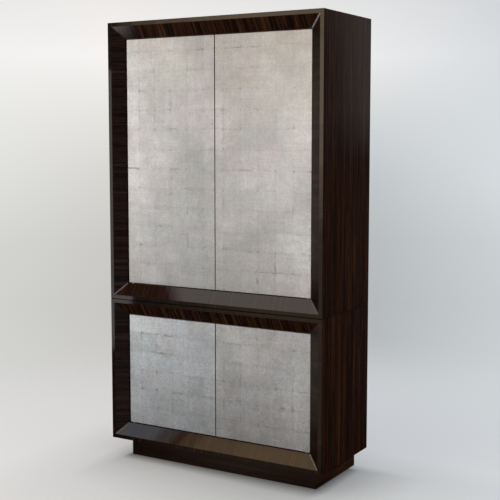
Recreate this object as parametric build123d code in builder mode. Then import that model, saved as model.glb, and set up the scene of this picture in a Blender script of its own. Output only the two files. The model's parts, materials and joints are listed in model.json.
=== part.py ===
from build123d import *
import os

# Armoire of two stacked cabinets: x runs left to right, y front to back, z up from the floor.
# The origin is on the floor, under the middle of the width and depth. All sizes are millimetres.

# Overall sizes
width = 1200.0
depth = 500.0
plinth_height = 100.0
lower_height = 722.0
upper_height = 1378.0

# Carcass boards, whose mitred front edges are the flat rim
board = 20.0
arris = 1.0
joint_chamfer = 2.0
back_board = 10.0
rebate = 10.0
back_play = 0.5

# Bevelled frame round each pair of doors
bevel_width = 59.0
bevel_depth = 40.0

# Doors
door_board = 22.0
door_recess = 6.0
door_gap = 3.0
meeting_gap = 3.0
door_arris = 1.0
closing_room = 4.0

# Countersunk screws, one kind throughout
screw_length = 25.0
screw_radius = 1.75
screw_head_radius = 3.5
screw_head_rim = 0.3
screw_head_height = 2.0
screw_sink = 0.2
screw_play = 0.05

# Pivot hinges
pivot_from_edge = 18.0
pivot_from_face = 8.0
leaf_board = 3.0
leaf_width = 10.0
leaf_length = 42.0
leaf_screw_first = 14.0
leaf_screw_last_inset = 8.0
hinge_pin_radius = 2.5
hinge_pin_reach = 5.0
pin_press_play = 0.01
pin_running_play = 0.05
pin_bore_play = 0.5
washer_rim = 2.0
washer_bore_play = 0.2

# Push latches and the rails that carry them
stop_margin = 4.0
stop_overlap = 13.0
stop_clear_of_pivot = 100.0
latch_from_meeting = 40.0
latch_setback = 2.0
latch_width = 16.0
latch_length = 50.0
latch_height = 14.0
latch_wall = 6.0
lug_length = 12.0
lug_board = 3.0
plunger_radius = 4.0
plunger_play = 0.1
plunger_travel = 3.0
plunger_touch = 0.3
plunger_chamfer = 0.8
strike_radius = 9.0
strike_board = 1.5
spigot_radius = 3.0
spigot_length = 8.0
spigot_play = 0.05

# Inner floors and shelves
deck_board = 18.0
bearer_width = 30.0
shelf_board = 22.0
shelf_play = 2.0
shelf_setback = 28.0
shelf_arris = 1.5
upper_shelf_count = 3
lower_shelf_count = 1

# Shelf pins and their rows of holes
shelf_pin_radius = 2.5
shelf_pin_play = 0.05
shelf_pin_depth = 10.0
shelf_hole_extra = 1.0
shelf_pin_inset = 60.0
tongue_length = 12.0
tongue_width = 10.0
row_pitch = 64.0
first_row = 150.0
last_row = 150.0

# Bolts and threaded inserts that join the cabinets
bolt_radius = 3.0
bolt_play = 0.2
bolt_head_radius = 7.0
bolt_head_height = 3.0
insert_radius = 5.0
insert_length = 15.0
bolt_from_side = 150.0
bolt_from_front = 140.0
bolt_from_back = 100.0

# Screws along the back panels
back_screw_columns = 4
back_screw_rows = 5
back_screw_corner = 60.0

# Plinth
plinth_front_setback = 80.0
plinth_side_setback = 67.0
plinth_back_setback = 0.0
block_size = 50.0
block_lift = 10.0

# Levels and lines that several pieces share
joint_level = plinth_height + lower_height
height = joint_level + upper_height
front = -depth / 2
back = depth / 2
inside_x = width / 2 - board
opening_x = inside_x - bevel_width
door_face = front + bevel_depth + door_recess
door_back = door_face + door_board
frame_back = door_back + closing_room
back_face = back - back_board
door_outer_x = opening_x - door_gap
door_inner_x = meeting_gap / 2
pivot_x = door_outer_x - pivot_from_edge
pivot_y = door_face + pivot_from_face
strike_face = door_back + strike_board
latch_front = frame_back + latch_setback
latch_x = door_inner_x + latch_from_meeting
stop_half = pivot_x - stop_clear_of_pivot
stop_depth = latch_setback + latch_length + stop_margin
plunger_tip = strike_face + plunger_touch
plunger_bore_depth = latch_length - latch_wall
plunger_length = latch_front - plunger_tip + plunger_bore_depth - 2 * plunger_travel
shelf_front = frame_back + shelf_setback
shelf_back = back_face - shelf_play
shelf_pin_lines = (shelf_front + shelf_pin_inset, shelf_back - shelf_pin_inset)
leaf_screw_places = (leaf_screw_first, leaf_length - leaf_screw_last_inset)
rebate_x = inside_x + rebate

hands = {"left": -1, "right": 1}
ends = {"bottom": -1, "top": 1}
cabinets = {
    "lower": (plinth_height, joint_level, lower_shelf_count),
    "upper": (joint_level, height, upper_shelf_count),
}

os.makedirs("parts", exist_ok=True)


def keep_piece(piece, label):
    """Label a finished piece and write it to its own file."""
    piece.part.label = label
    export_step(piece.part, f"parts/{label}.step")


def spread(low, high, count):
    """Evenly spaced places from low to high, both included."""
    return [low + (high - low) * step / (count - 1) for step in range(count)]


def opening_levels(low, high):
    """Bottom and top of the frame's straight opening in a cabinet."""
    return low + board + bevel_width, high - board - bevel_width


def door_levels(low, high):
    """Bottom and top edge of a cabinet's doors."""
    bottom, top = opening_levels(low, high)
    return bottom + door_gap, top - door_gap


def stop_level(low, high):
    """Underside of the rail that carries a cabinet's latches."""
    return door_levels(low, high)[1] - stop_overlap


def row_levels(low, high):
    """Heights of the rows of shelf-pin holes in a cabinet."""
    first = opening_levels(low, high)[0] + first_row
    room = stop_level(low, high) - last_row - first
    return [first + row_pitch * row for row in range(int(room // row_pitch) + 1)]


def shelf_pin_levels(low, high, shelf_count):
    """Heights of the rows that hold a shelf, spread evenly over the rows there are."""
    rows = row_levels(low, high)
    return [rows[len(rows) * number // (shelf_count + 1)] for number in range(1, shelf_count + 1)]


def leaf_screw_seats(side, level, out):
    """Planes of a hinge leaf's screw heads: out is +1 where the heads face up, -1 where they face down."""
    return [
        Plane((side * (pivot_x - place), pivot_y, level), x_dir=(1, 0, 0), z_dir=(0, 0, out))
        for place in leaf_screw_places
    ]


def latch_screw_seats(side, level):
    """Planes of the screw heads under a latch housing's two lugs."""
    reach = latch_width / 2 + lug_length / 2
    return [
        Plane(
            (side * latch_x + offset, latch_front + latch_length / 2, level - lug_board),
            x_dir=(1, 0, 0),
            z_dir=(0, 0, -1),
        )
        for offset in (-reach, reach)
    ]


def back_screw_seats(low, high):
    """Planes of the screw heads round a back panel, over the middle of the rebate."""
    edge_x = inside_x + rebate / 2
    edges_z = (low + board - rebate / 2, high - board + rebate / 2)
    end_x = inside_x - back_screw_corner
    end_z = (low + board + back_screw_corner, high - board - back_screw_corner)
    places = [(x, z) for x in spread(-end_x, end_x, back_screw_columns) for z in edges_z]
    places += [(x, z) for x in (-edge_x, edge_x) for z in spread(*end_z, back_screw_rows)]
    return [Plane((x, back, z), x_dir=(1, 0, 0), z_dir=(0, 1, 0)) for x, z in places]


def screw_shape(play):
    """Countersunk screw below the plane of its seat, or with play the hole that takes it."""
    with BuildPart() as shape:
        with BuildSketch(Plane.XZ):
            with BuildLine():
                head_top = 0 if play else -screw_sink
                rim = -screw_sink - screw_head_rim
                neck = -screw_sink - screw_head_height
                tip = -screw_length - play
                Polyline(
                    (0, head_top),
                    (screw_head_radius + play, head_top),
                    (screw_head_radius + play, rim),
                    (screw_radius + play, neck),
                    (screw_radius + play, tip),
                    (0, tip),
                    close=True,
                )
            make_face()
        revolve(axis=Axis.Z)
    return shape.part


def leaf_outline(side):
    """Outline of a hinge leaf: a strip from the pivot towards the meeting edge, round at the pivot."""
    with Locations((side * pivot_x, pivot_y)):
        Circle(leaf_width / 2)
    with Locations((side * (pivot_x - leaf_length / 2), pivot_y)):
        Rectangle(leaf_length, leaf_width)


def wall_plane(side):
    """Plane of a side's inner face, pointing into the board: its own x is y towards that hand, its y is z."""
    return Plane((side * inside_x, 0, 0), x_dir=(0, side, 0), z_dir=(side, 0, 0))


def wall_places(side, levels):
    """Places on wall_plane where the two lines of shelf pins cross the given levels."""
    return [(side * y, z) for y in shelf_pin_lines for z in levels]


def cut_screws(seats):
    """Cut the holes for countersunk screws out of the piece being made."""
    with Locations(*seats):
        add(screw_hole, mode=Mode.SUBTRACT)


def side_member(ring, side, low, high):
    """The upright left (-1) or right (+1) part of a ring, cut off by the two mitres on that side."""
    with BuildPart() as member:
        add(ring.part)
        split(bisect_by=Plane((0, 0, 0), z_dir=(side, 0, 0)))
        split(bisect_by=Plane((side * width / 2, 0, high), z_dir=(side, 0, -1)))
        split(bisect_by=Plane((side * width / 2, 0, low), z_dir=(side, 0, 1)))
    return member


def level_member(ring, up, low, high):
    """The top (up is +1) or bottom (-1) part of a ring, cut off by the mitres at both its ends."""
    level = high if up > 0 else low
    with BuildPart() as member:
        add(ring.part)
        split(bisect_by=Plane((0, 0, (low + high) / 2), z_dir=(0, 0, up)))
        split(bisect_by=Plane((-width / 2, 0, level), z_dir=(1, 0, up)))
        split(bisect_by=Plane((width / 2, 0, level), z_dir=(-1, 0, up)))
    return member


def carcass_ring(low, high):
    """The four outer boards of a cabinet in one ring, with every hole, before the mitres part them."""
    middle = (low + high) / 2
    with BuildPart() as ring:
        bottom_chamfer = joint_chamfer if low == joint_level else arris
        top_chamfer = joint_chamfer if high == joint_level else arris
        levels = (low, low + bottom_chamfer, high - top_chamfer, high)
        insets = (bottom_chamfer, 0, 0, top_chamfer)
        for level, inset in zip(levels, insets):
            with BuildSketch(Plane.XY.offset(level)) as outline:
                Rectangle(width - 2 * inset, depth - 2 * inset)
                chamfer(outline.vertices(), arris)
        loft(ruled=True)
        with BuildSketch(Plane.XZ.offset(-back)):
            with Locations((0, middle)):
                Rectangle(2 * inside_x, high - low - 2 * board)
        extrude(amount=depth, mode=Mode.SUBTRACT)
        with BuildSketch(Plane.XZ.offset(-back)):
            with Locations((0, middle)):
                Rectangle(2 * rebate_x, high - low - 2 * (board - rebate))
        extrude(amount=back_board, mode=Mode.SUBTRACT)
        for side in hands.values():
            with BuildSketch(wall_plane(side)):
                with Locations(*wall_places(side, row_levels(low, high))):
                    Circle(shelf_pin_radius + shelf_pin_play)
            extrude(amount=shelf_pin_depth + shelf_hole_extra, mode=Mode.SUBTRACT)
        cut_screws(back_screw_seats(low, high))
        with BuildSketch(Plane.XY.offset(joint_level)):
            with Locations(*bolt_places):
                Circle(bolt_radius + bolt_play if high == joint_level else insert_radius)
        extrude(amount=-board if high == joint_level else insert_length, mode=Mode.SUBTRACT)
    return ring


def frame_ring(low, high):
    """The bevelled frame of a cabinet in one ring, with its hinge recesses, before the mitres part it."""
    middle = (low + high) / 2
    bottom, top = opening_levels(low, high)
    front_plane = Plane.XZ.offset(-front)
    with BuildPart() as ring:
        with BuildSketch(front_plane):
            with Locations((0, middle)):
                Rectangle(2 * inside_x, high - low - 2 * board)
                Rectangle(2 * opening_x, top - bottom, mode=Mode.SUBTRACT)
        extrude(amount=front - frame_back)
        with BuildSketch(front_plane):
            with Locations((0, middle)):
                Rectangle(2 * inside_x, high - low - 2 * board)
        with BuildSketch(front_plane.offset(-bevel_depth)):
            with Locations((0, middle)):
                Rectangle(2 * opening_x, top - bottom)
        loft(mode=Mode.SUBTRACT)
        bevel_foot = front + bevel_depth
        chamfer(ring.edges().filter_by_position(Axis.Y, bevel_foot - arris, bevel_foot + arris), arris)
        for level, up in zip((bottom, top), ends.values()):
            for side in hands.values():
                with BuildSketch(Plane.XY.offset(level)):
                    leaf_outline(side)
                extrude(amount=up * leaf_board, mode=Mode.SUBTRACT)
                cut_screws(leaf_screw_seats(side, level, -up))
    return ring


screw = screw_shape(0)
screw_hole = screw_shape(screw_play)
bolt_places = [
    (x, y)
    for x in (bolt_from_side - width / 2, width / 2 - bolt_from_side)
    for y in (front + bolt_from_front, back - bolt_from_back)
]

# Outer boards and bevelled frame of each cabinet
for cabinet, (low, high, shelf_count) in cabinets.items():
    carcass = carcass_ring(low, high)
    frame = frame_ring(low, high)
    for hand, side in hands.items():
        keep_piece(side_member(carcass, side, low, high), f"{cabinet}_{hand}_side")
        keep_piece(side_member(frame, side, low, high), f"{cabinet}_frame_{hand}_stile")
    for end, up in ends.items():
        keep_piece(level_member(carcass, up, low, high), f"{cabinet}_{end}_panel")
        keep_piece(level_member(frame, up, low, high), f"{cabinet}_frame_{end}_rail")

# Back panel, inner floor, bearers, latch rail and shelves of each cabinet
for cabinet, (low, high, shelf_count) in cabinets.items():
    floor_level = opening_levels(low, high)[0]

    with BuildPart() as back_panel:
        with BuildSketch(Plane.XZ.offset(-back)):
            with Locations((0, (low + high) / 2)):
                Rectangle(2 * (rebate_x - back_play), high - low - 2 * (board - rebate + back_play))
        extrude(amount=back_board)
        cut_screws(back_screw_seats(low, high))
    keep_piece(back_panel, f"{cabinet}_back_panel")

    with BuildPart() as deck:
        with BuildSketch(Plane.XY.offset(floor_level)):
            with Locations((0, (frame_back + back_face) / 2)):
                Rectangle(2 * inside_x, back_face - frame_back)
        extrude(amount=-deck_board)
    keep_piece(deck, f"{cabinet}_deck")

    with BuildPart() as bearers:
        with BuildSketch(Plane.XY.offset(low + board)):
            bearer_reach = inside_x - bearer_width / 2
            with Locations(*[(x, (frame_back + back_face) / 2) for x in (-bearer_reach, 0, bearer_reach)]):
                Rectangle(bearer_width, back_face - frame_back)
        extrude(amount=bevel_width - deck_board)
    keep_piece(bearers, f"{cabinet}_deck_bearers")

    with BuildPart() as stop_rail:
        with BuildSketch(Plane.XY.offset(stop_level(low, high))):
            with Locations((0, frame_back + stop_depth / 2)):
                Rectangle(2 * stop_half, stop_depth)
        extrude(amount=high - board - stop_level(low, high))
        for side in hands.values():
            cut_screws(latch_screw_seats(side, stop_level(low, high)))
    keep_piece(stop_rail, f"{cabinet}_stop_rail")

    pin_levels = shelf_pin_levels(low, high, shelf_count)
    for number, level in enumerate(pin_levels, start=1):
        with BuildPart() as shelf:
            with BuildSketch(Plane.XY.offset(level + shelf_pin_radius)):
                with Locations((0, (shelf_front + shelf_back) / 2)):
                    Rectangle(2 * (inside_x - shelf_play), shelf_back - shelf_front)
            extrude(amount=shelf_board)
            chamfer(shelf.faces().sort_by(Axis.Y)[0].edges().filter_by(Axis.X), shelf_arris)
        keep_piece(shelf, f"{cabinet}_shelf_{number}")

    with BuildPart() as shelf_pins:
        for side in hands.values():
            with BuildSketch(wall_plane(side)):
                with Locations(*wall_places(side, pin_levels)):
                    Circle(shelf_pin_radius)
            extrude(amount=shelf_pin_depth)
            tongue_levels = [level + shelf_pin_radius / 2 for level in pin_levels]
            with BuildSketch(wall_plane(side)):
                with Locations(*wall_places(side, tongue_levels)):
                    Rectangle(tongue_width, shelf_pin_radius)
            extrude(amount=-tongue_length)
    keep_piece(shelf_pins, f"{cabinet}_shelf_pins")

# Doors, each with its two hinge leaves, their screws and the strike of its latch
for cabinet, (low, high, shelf_count) in cabinets.items():
    door_bottom, door_top = door_levels(low, high)
    latch_level = stop_level(low, high) - latch_height / 2
    door_ends = list(zip(door_levels(low, high), ends.values()))
    for hand, side in hands.items():
        with BuildPart() as door:
            with BuildSketch(Plane.XZ.offset(-door_back)):
                with Locations((side * (door_outer_x + door_inner_x) / 2, (door_bottom + door_top) / 2)):
                    Rectangle(door_outer_x - door_inner_x, door_top - door_bottom)
            extrude(amount=door_board)
            chamfer(door.faces().sort_by(Axis.Y)[0].edges(), door_arris)
            for level, up in door_ends:
                with BuildSketch(Plane.XY.offset(level)):
                    leaf_outline(side)
                extrude(amount=-up * leaf_board, mode=Mode.SUBTRACT)
                with BuildSketch(Plane.XY.offset(level)):
                    with Locations((side * pivot_x, pivot_y)):
                        Circle(hinge_pin_radius + pin_bore_play)
                extrude(amount=-up * (leaf_board + hinge_pin_reach + pin_bore_play), mode=Mode.SUBTRACT)
                cut_screws(leaf_screw_seats(side, level, up))
            with BuildSketch(Plane.XZ.offset(-door_back)):
                with Locations((side * latch_x, latch_level)):
                    Circle(spigot_radius + spigot_play)
            extrude(amount=spigot_length + spigot_play, mode=Mode.SUBTRACT)
        keep_piece(door, f"{cabinet}_{hand}_door")

        with BuildPart() as door_leaves:
            for level, up in door_ends:
                with BuildSketch(Plane.XY.offset(level)):
                    leaf_outline(side)
                    with Locations((side * pivot_x, pivot_y)):
                        Circle(hinge_pin_radius + pin_running_play, mode=Mode.SUBTRACT)
                extrude(amount=-up * leaf_board)
            for level, up in door_ends:
                cut_screws(leaf_screw_seats(side, level, up))
            for level, up in door_ends:
                with Locations(*leaf_screw_seats(side, level, up)):
                    add(screw)
        keep_piece(door_leaves, f"{cabinet}_{hand}_door_leaves")

        with BuildPart() as strike:
            with BuildSketch(Plane.XZ.offset(-door_back)):
                with Locations((side * latch_x, latch_level)):
                    Circle(strike_radius)
            extrude(amount=-strike_board)
            with BuildSketch(Plane.XZ.offset(-door_back)):
                with Locations((side * latch_x, latch_level)):
                    Circle(spigot_radius)
            extrude(amount=spigot_length)
        keep_piece(strike, f"{cabinet}_{hand}_strike")

        with BuildPart() as plunger:
            with BuildSketch(Plane.XZ.offset(-plunger_tip)):
                with Locations((side * latch_x, latch_level)):
                    Circle(plunger_radius)
            extrude(amount=-plunger_length)
            chamfer(plunger.faces().sort_by(Axis.Y)[0].edges(), plunger_chamfer)
        keep_piece(plunger, f"{cabinet}_{hand}_latch_plunger")

# Places on the frames that carry hinge hardware: side, level of the frame's edge, +1 at the top of a door
frame_hinges = [
    (side, level, up)
    for low, high, shelf_count in cabinets.values()
    for level, up in zip(opening_levels(low, high), ends.values())
    for side in hands.values()
]
latches = [
    (side, stop_level(low, high))
    for low, high, shelf_count in cabinets.values()
    for side in hands.values()
]

with BuildPart() as frame_leaves:
    for side, level, up in frame_hinges:
        with BuildSketch(Plane.XY.offset(level)):
            leaf_outline(side)
            with Locations((side * pivot_x, pivot_y)):
                Circle(hinge_pin_radius + pin_press_play, mode=Mode.SUBTRACT)
        extrude(amount=up * leaf_board)
    for side, level, up in frame_hinges:
        cut_screws(leaf_screw_seats(side, level, -up))
keep_piece(frame_leaves, "hinge_frame_leaves")

with BuildPart() as hinge_pins:
    for side, level, up in frame_hinges:
        with BuildSketch(Plane.XY.offset(level + up * leaf_board)):
            with Locations((side * pivot_x, pivot_y)):
                Circle(hinge_pin_radius)
        extrude(amount=-up * (2 * leaf_board + door_gap + hinge_pin_reach))
keep_piece(hinge_pins, "hinge_pins")

with BuildPart() as washers:
    for side, level, up in frame_hinges:
        if up < 0:
            with BuildSketch(Plane.XY.offset(level)):
                with Locations((side * pivot_x, pivot_y)):
                    Circle(hinge_pin_radius + washer_rim)
                    Circle(hinge_pin_radius + washer_bore_play, mode=Mode.SUBTRACT)
            extrude(amount=door_gap - pin_running_play)
keep_piece(washers, "hinge_washers")

with BuildPart() as housings:
    for side, level in latches:
        with BuildSketch(Plane.XY.offset(level)):
            with Locations((side * latch_x, latch_front + latch_length / 2)):
                Rectangle(latch_width, latch_length)
        extrude(amount=-latch_height)
        with BuildSketch(Plane.XY.offset(level)):
            with Locations((side * latch_x, latch_front + latch_length / 2)):
                Rectangle(latch_width + 2 * lug_length, lug_length)
        extrude(amount=-lug_board)
        with BuildSketch(Plane.XZ.offset(-latch_front)):
            with Locations((side * latch_x, level - latch_height / 2)):
                Circle(plunger_radius + plunger_play)
        extrude(amount=-plunger_bore_depth, mode=Mode.SUBTRACT)
    for side, level in latches:
        cut_screws(latch_screw_seats(side, level))
keep_piece(housings, "latch_housings")

with BuildPart() as fixing_screws:
    for side, level, up in frame_hinges:
        with Locations(*leaf_screw_seats(side, level, -up)):
            add(screw)
    for side, level in latches:
        with Locations(*latch_screw_seats(side, level)):
            add(screw)
keep_piece(fixing_screws, "hinge_and_latch_screws")

with BuildPart() as back_screws:
    for low, high, shelf_count in cabinets.values():
        with Locations(*back_screw_seats(low, high)):
            add(screw)
keep_piece(back_screws, "back_panel_screws")

# Bolts up through the lower cabinet's top into inserts in the upper cabinet's bottom
with BuildPart() as bolts:
    with BuildSketch(Plane.XY.offset(joint_level - board)):
        with Locations(*bolt_places):
            Circle(bolt_head_radius)
    extrude(amount=-bolt_head_height)
    with BuildSketch(Plane.XY.offset(joint_level - board)):
        with Locations(*bolt_places):
            Circle(bolt_radius)
    extrude(amount=board + insert_length)
keep_piece(bolts, "joining_bolts")

with BuildPart() as inserts:
    with BuildSketch(Plane.XY.offset(joint_level)):
        with Locations(*bolt_places):
            Circle(insert_radius)
            Circle(bolt_radius, mode=Mode.SUBTRACT)
    extrude(amount=insert_length)
keep_piece(inserts, "joining_inserts")

# Plinth: four boards mitred at the corners, with a glued block inside each corner
plinth_x = width / 2 - plinth_side_setback
plinth_front = front + plinth_front_setback
plinth_back = back - plinth_back_setback
plinth_middle = (plinth_front + plinth_back) / 2

with BuildPart() as plinth:
    with BuildSketch():
        with Locations((0, plinth_middle)):
            Rectangle(2 * plinth_x, plinth_back - plinth_front)
    extrude(amount=plinth_height)
    chamfer(plinth.edges().filter_by(Axis.Z), arris)
    with BuildSketch():
        with Locations((0, plinth_middle)):
            Rectangle(2 * (plinth_x - board), plinth_back - plinth_front - 2 * board)
    extrude(amount=plinth_height, mode=Mode.SUBTRACT)

for hand, side in hands.items():
    with BuildPart() as plinth_side:
        add(plinth.part)
        split(bisect_by=Plane((0, 0, 0), z_dir=(side, 0, 0)))
        split(bisect_by=Plane((side * plinth_x, plinth_front, 0), z_dir=(side, 1, 0)))
        split(bisect_by=Plane((side * plinth_x, plinth_back, 0), z_dir=(side, -1, 0)))
    keep_piece(plinth_side, f"plinth_{hand}")

for label, edge_y, towards in (("plinth_front", plinth_front, -1), ("plinth_back", plinth_back, 1)):
    with BuildPart() as plinth_end:
        add(plinth.part)
        split(bisect_by=Plane((0, plinth_middle, 0), z_dir=(0, towards, 0)))
        split(bisect_by=Plane((-plinth_x, edge_y, 0), z_dir=(1, towards, 0)))
        split(bisect_by=Plane((plinth_x, edge_y, 0), z_dir=(-1, towards, 0)))
    keep_piece(plinth_end, label)

with BuildPart() as blocks:
    block_x = plinth_x - board - block_size / 2
    block_y = (plinth_back - plinth_front) / 2 - board - block_size / 2
    with BuildSketch(Plane.XY.offset(block_lift)):
        with Locations(*[(x, plinth_middle + y) for x in (-block_x, block_x) for y in (-block_y, block_y)]):
            Rectangle(block_size, block_size)
    extrude(amount=plinth_height - block_lift)
keep_piece(blocks, "plinth_corner_blocks")
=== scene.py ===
# %% [markdown]
# # Dressing an armoire in ebony veneer and silver leaf
# The real piece is two stacked cabinets. Dark striped ebony veneer under gloss lacquer covers the boards
# and the bevelled frames, and squares of silver leaf cover the four doors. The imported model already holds
# every board, hinge and screw at its real size, so this lesson leaves those meshes alone. It gives each one
# its finish, lays the silver leaf as real sheets, and fills the mitres with lacquer.

# %% Load the frame
import json
import math

import bpy
import numpy as np
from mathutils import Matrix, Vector


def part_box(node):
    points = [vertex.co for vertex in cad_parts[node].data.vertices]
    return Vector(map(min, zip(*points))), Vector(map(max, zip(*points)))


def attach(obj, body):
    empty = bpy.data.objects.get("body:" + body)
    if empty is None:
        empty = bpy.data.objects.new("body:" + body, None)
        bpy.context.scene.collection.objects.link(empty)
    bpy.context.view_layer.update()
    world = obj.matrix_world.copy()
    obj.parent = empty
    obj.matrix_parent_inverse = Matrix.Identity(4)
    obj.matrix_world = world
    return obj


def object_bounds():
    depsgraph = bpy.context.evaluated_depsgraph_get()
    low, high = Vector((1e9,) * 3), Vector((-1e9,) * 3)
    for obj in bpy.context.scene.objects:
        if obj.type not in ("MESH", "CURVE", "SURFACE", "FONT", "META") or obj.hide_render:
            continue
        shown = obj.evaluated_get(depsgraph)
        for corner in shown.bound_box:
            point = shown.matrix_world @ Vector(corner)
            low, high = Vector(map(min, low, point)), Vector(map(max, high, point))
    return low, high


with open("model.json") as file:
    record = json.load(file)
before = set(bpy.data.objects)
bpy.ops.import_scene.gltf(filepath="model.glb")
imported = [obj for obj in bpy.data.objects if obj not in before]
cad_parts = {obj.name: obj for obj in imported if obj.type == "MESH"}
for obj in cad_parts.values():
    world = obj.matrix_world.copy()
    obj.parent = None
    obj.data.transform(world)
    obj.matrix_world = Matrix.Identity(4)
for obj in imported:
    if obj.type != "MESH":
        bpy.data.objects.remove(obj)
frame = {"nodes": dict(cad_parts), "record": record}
cad_low, cad_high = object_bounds()
nodes = frame["nodes"]
subparts = frame["record"]["subparts"]
cabinets = ("lower", "upper")
hands = {"left": -1, "right": 1}
print("nodes:", len(nodes), "box:", [round(v, 3) for v in (*cad_low, *cad_high)])

# %% [markdown]
# ## The camera
# The photograph looks at the front from the right, at about the height of the eyes. A real photographer
# keeps the uprights of tall furniture nearly parallel by sliding the lens instead of tilting it. A little
# of that slide is kept here as a lens shift, and the rest of the framing comes from a slight tilt.

# %% Set the camera
photo_width_px = 500
focal_length_px = 1033.48
sensor_width = 36.0
camera_place = (2.6648, -4.3588, 1.6437)
camera_turn = math.radians(30.7315)
camera_tilt_down = math.radians(5.4809)
lens_slide = -0.03

camera_data = bpy.data.cameras.new("photograph_camera")
camera_data.sensor_width = sensor_width
camera_data.lens = sensor_width * focal_length_px / photo_width_px
camera_data.shift_y = lens_slide
camera = bpy.data.objects.new("photograph_camera", camera_data)
camera.location = camera_place
camera.rotation_euler = (math.radians(90) - camera_tilt_down, 0, camera_turn)
bpy.context.scene.collection.objects.link(camera)
bpy.context.scene.camera = camera
bpy.context.scene.view_settings.view_transform = "Standard"
print("lens:", round(camera_data.lens, 1), "mm")

# %% [markdown]
# ## Surfaces from arrays
# Every new piece is a surface worked out as one array of points. A grid of rows and columns becomes a mesh
# by joining each point to its right and upper neighbours. Many small grids can share one mesh, because only
# the index of the first point changes from one grid to the next.

# %% Helpers for meshes
def grid_faces(grids, rows, columns):
    """Four-cornered faces of many equal grids: a point, its right neighbour and the two points above them."""
    corner = np.arange(rows - 1)[:, None] * columns + np.arange(columns - 1)[None, :]
    faces = np.stack([corner, corner + 1, corner + columns + 1, corner + columns], axis=-1).reshape(-1, 4)
    first_points = np.arange(grids)[:, None, None] * rows * columns
    return (faces[None] + first_points).reshape(-1, 4)


def mesh_of_grids(name, points, smooth=True):
    """A mesh from points shaped (grids, rows, columns, 3), shaded smooth or flat."""
    grids, rows, columns, _ = points.shape
    mesh = bpy.data.meshes.new(name)
    mesh.from_pydata(points.reshape(-1, 3).tolist(), [], grid_faces(grids, rows, columns).tolist())
    mesh.polygons.foreach_set("use_smooth", np.full(len(mesh.polygons), smooth))
    return mesh


def place(name, mesh, material):
    """An object at the origin that shows this mesh in this material."""
    piece = bpy.data.objects.new(name, mesh)
    piece.data.materials.append(material)
    bpy.context.scene.collection.objects.link(piece)
    return piece


print("a 3 by 3 grid has", len(grid_faces(1, 3, 3)), "faces")

# %% [markdown]
# ## Building materials
# A material here is a small tree of nodes, and these helpers keep the recipes short. The first ones add a
# node and do one step of arithmetic on numbers or on vectors. Each gives back an output that the next step
# can take.

# %% Helpers for numbers and vectors
def plug(tree, node, values):
    """Fills a node's inputs by name or number: an output is linked, anything else is a plain value."""
    for key, value in values.items():
        if isinstance(value, bpy.types.NodeSocket):
            tree.links.new(value, node.inputs[key])
        else:
            node.inputs[key].default_value = value
    return node


def add_node(tree, kind, values=None, **settings):
    """Adds a node of this kind, sets its own settings, then fills its inputs."""
    node = tree.nodes.new(kind)
    for key, value in settings.items():
        setattr(node, key, value)
    return plug(tree, node, values or {})


def math_node(tree, operation, first, second=0.0, clamp=False):
    """The output of one arithmetic step."""
    step = add_node(tree, "ShaderNodeMath", {0: first, 1: second}, operation=operation, use_clamp=clamp)
    return step.outputs[0]


def multiply_all(tree, factors):
    """The product of all the factors."""
    product = factors[0]
    for factor in factors[1:]:
        product = math_node(tree, "MULTIPLY", product, factor)
    return product


def away_from(tree, value, mark):
    """How far a number lies from a mark, on either side of it."""
    return math_node(tree, "ABSOLUTE", math_node(tree, "SUBTRACT", value, mark))


def blend_values(tree, factor, first, second):
    """The number that goes from first to second as factor goes from 0 to 1."""
    return add_node(tree, "ShaderNodeMix", {0: factor, 2: first, 3: second}, data_type="FLOAT").outputs[0]


def vector_step(tree, operation, first, second=(0.0, 0.0, 0.0)):
    """The vector that one arithmetic step on vectors gives."""
    return add_node(tree, "ShaderNodeVectorMath", {0: first, 1: second}, operation=operation).outputs[0]


def vector_measure(tree, operation, first, second=(0.0, 0.0, 0.0)):
    """A number measured from vectors: a length, or a dot product."""
    return add_node(tree, "ShaderNodeVectorMath", {0: first, 1: second}, operation=operation).outputs["Value"]


def parts_of(tree, vector):
    """The X, Y and Z of a vector, as three outputs."""
    return tuple(add_node(tree, "ShaderNodeSeparateXYZ", {0: vector}).outputs)


print("number helpers ready")

# %% [markdown]
# ## Ranges, noise and colours
# Most of a finish is noise, which is a cloudy number that mostly lies between 0.3 and 0.7. Moving that span
# to another range makes a shade of it, and keeping only what lies above a threshold makes a mask. Colours
# are then mixed or multiplied by those numbers.

# %% Helpers for noise and colours
noise_span = (0.3, 0.7)


def range_map(tree, value, low, high, new_low, new_high):
    """Value moved from the range low to high into the range new_low to new_high, and held at its ends."""
    values = {"Value": value, "From Min": low, "From Max": high, "To Min": new_low, "To Max": new_high}
    return add_node(tree, "ShaderNodeMapRange", values, clamp=True).outputs[0]


def above(tree, value, low, high):
    """A mask that is 0 below the low end and 1 above the high end."""
    return range_map(tree, value, low, high, 0.0, 1.0)


def below(tree, value, low, high):
    """A mask that is 1 below the low end and 0 above the high end."""
    return range_map(tree, value, low, high, 1.0, 0.0)


def darken(tree, mask, darkest):
    """A factor that is 1 where the mask is 0, and darkest where the mask is 1."""
    return range_map(tree, mask, 0.0, 1.0, 1.0, darkest)


def noise(tree, vector, scale, detail=3.0, roughness=0.5):
    """A cloudy value from 0 to 1, with scale features to the metre."""
    values = {"Vector": vector, "Scale": scale, "Detail": detail, "Roughness": roughness}
    return add_node(tree, "ShaderNodeTexNoise", values).outputs[0]


def swing(tree, clouds, low, high):
    """Noise whose usual span is stretched to run from low to high."""
    return range_map(tree, clouds, *noise_span, low, high)


def grey(value):
    """A neutral colour of this brightness."""
    return (value, value, value, 1.0)


def mix_colours(tree, factor, first, second, blend="MIX"):
    """The colour that goes from first to second as factor goes from 0 to 1."""
    values = {0: factor, 6: first, 7: second}
    return add_node(tree, "ShaderNodeMix", values, data_type="RGBA", blend_type=blend).outputs[2]


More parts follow.
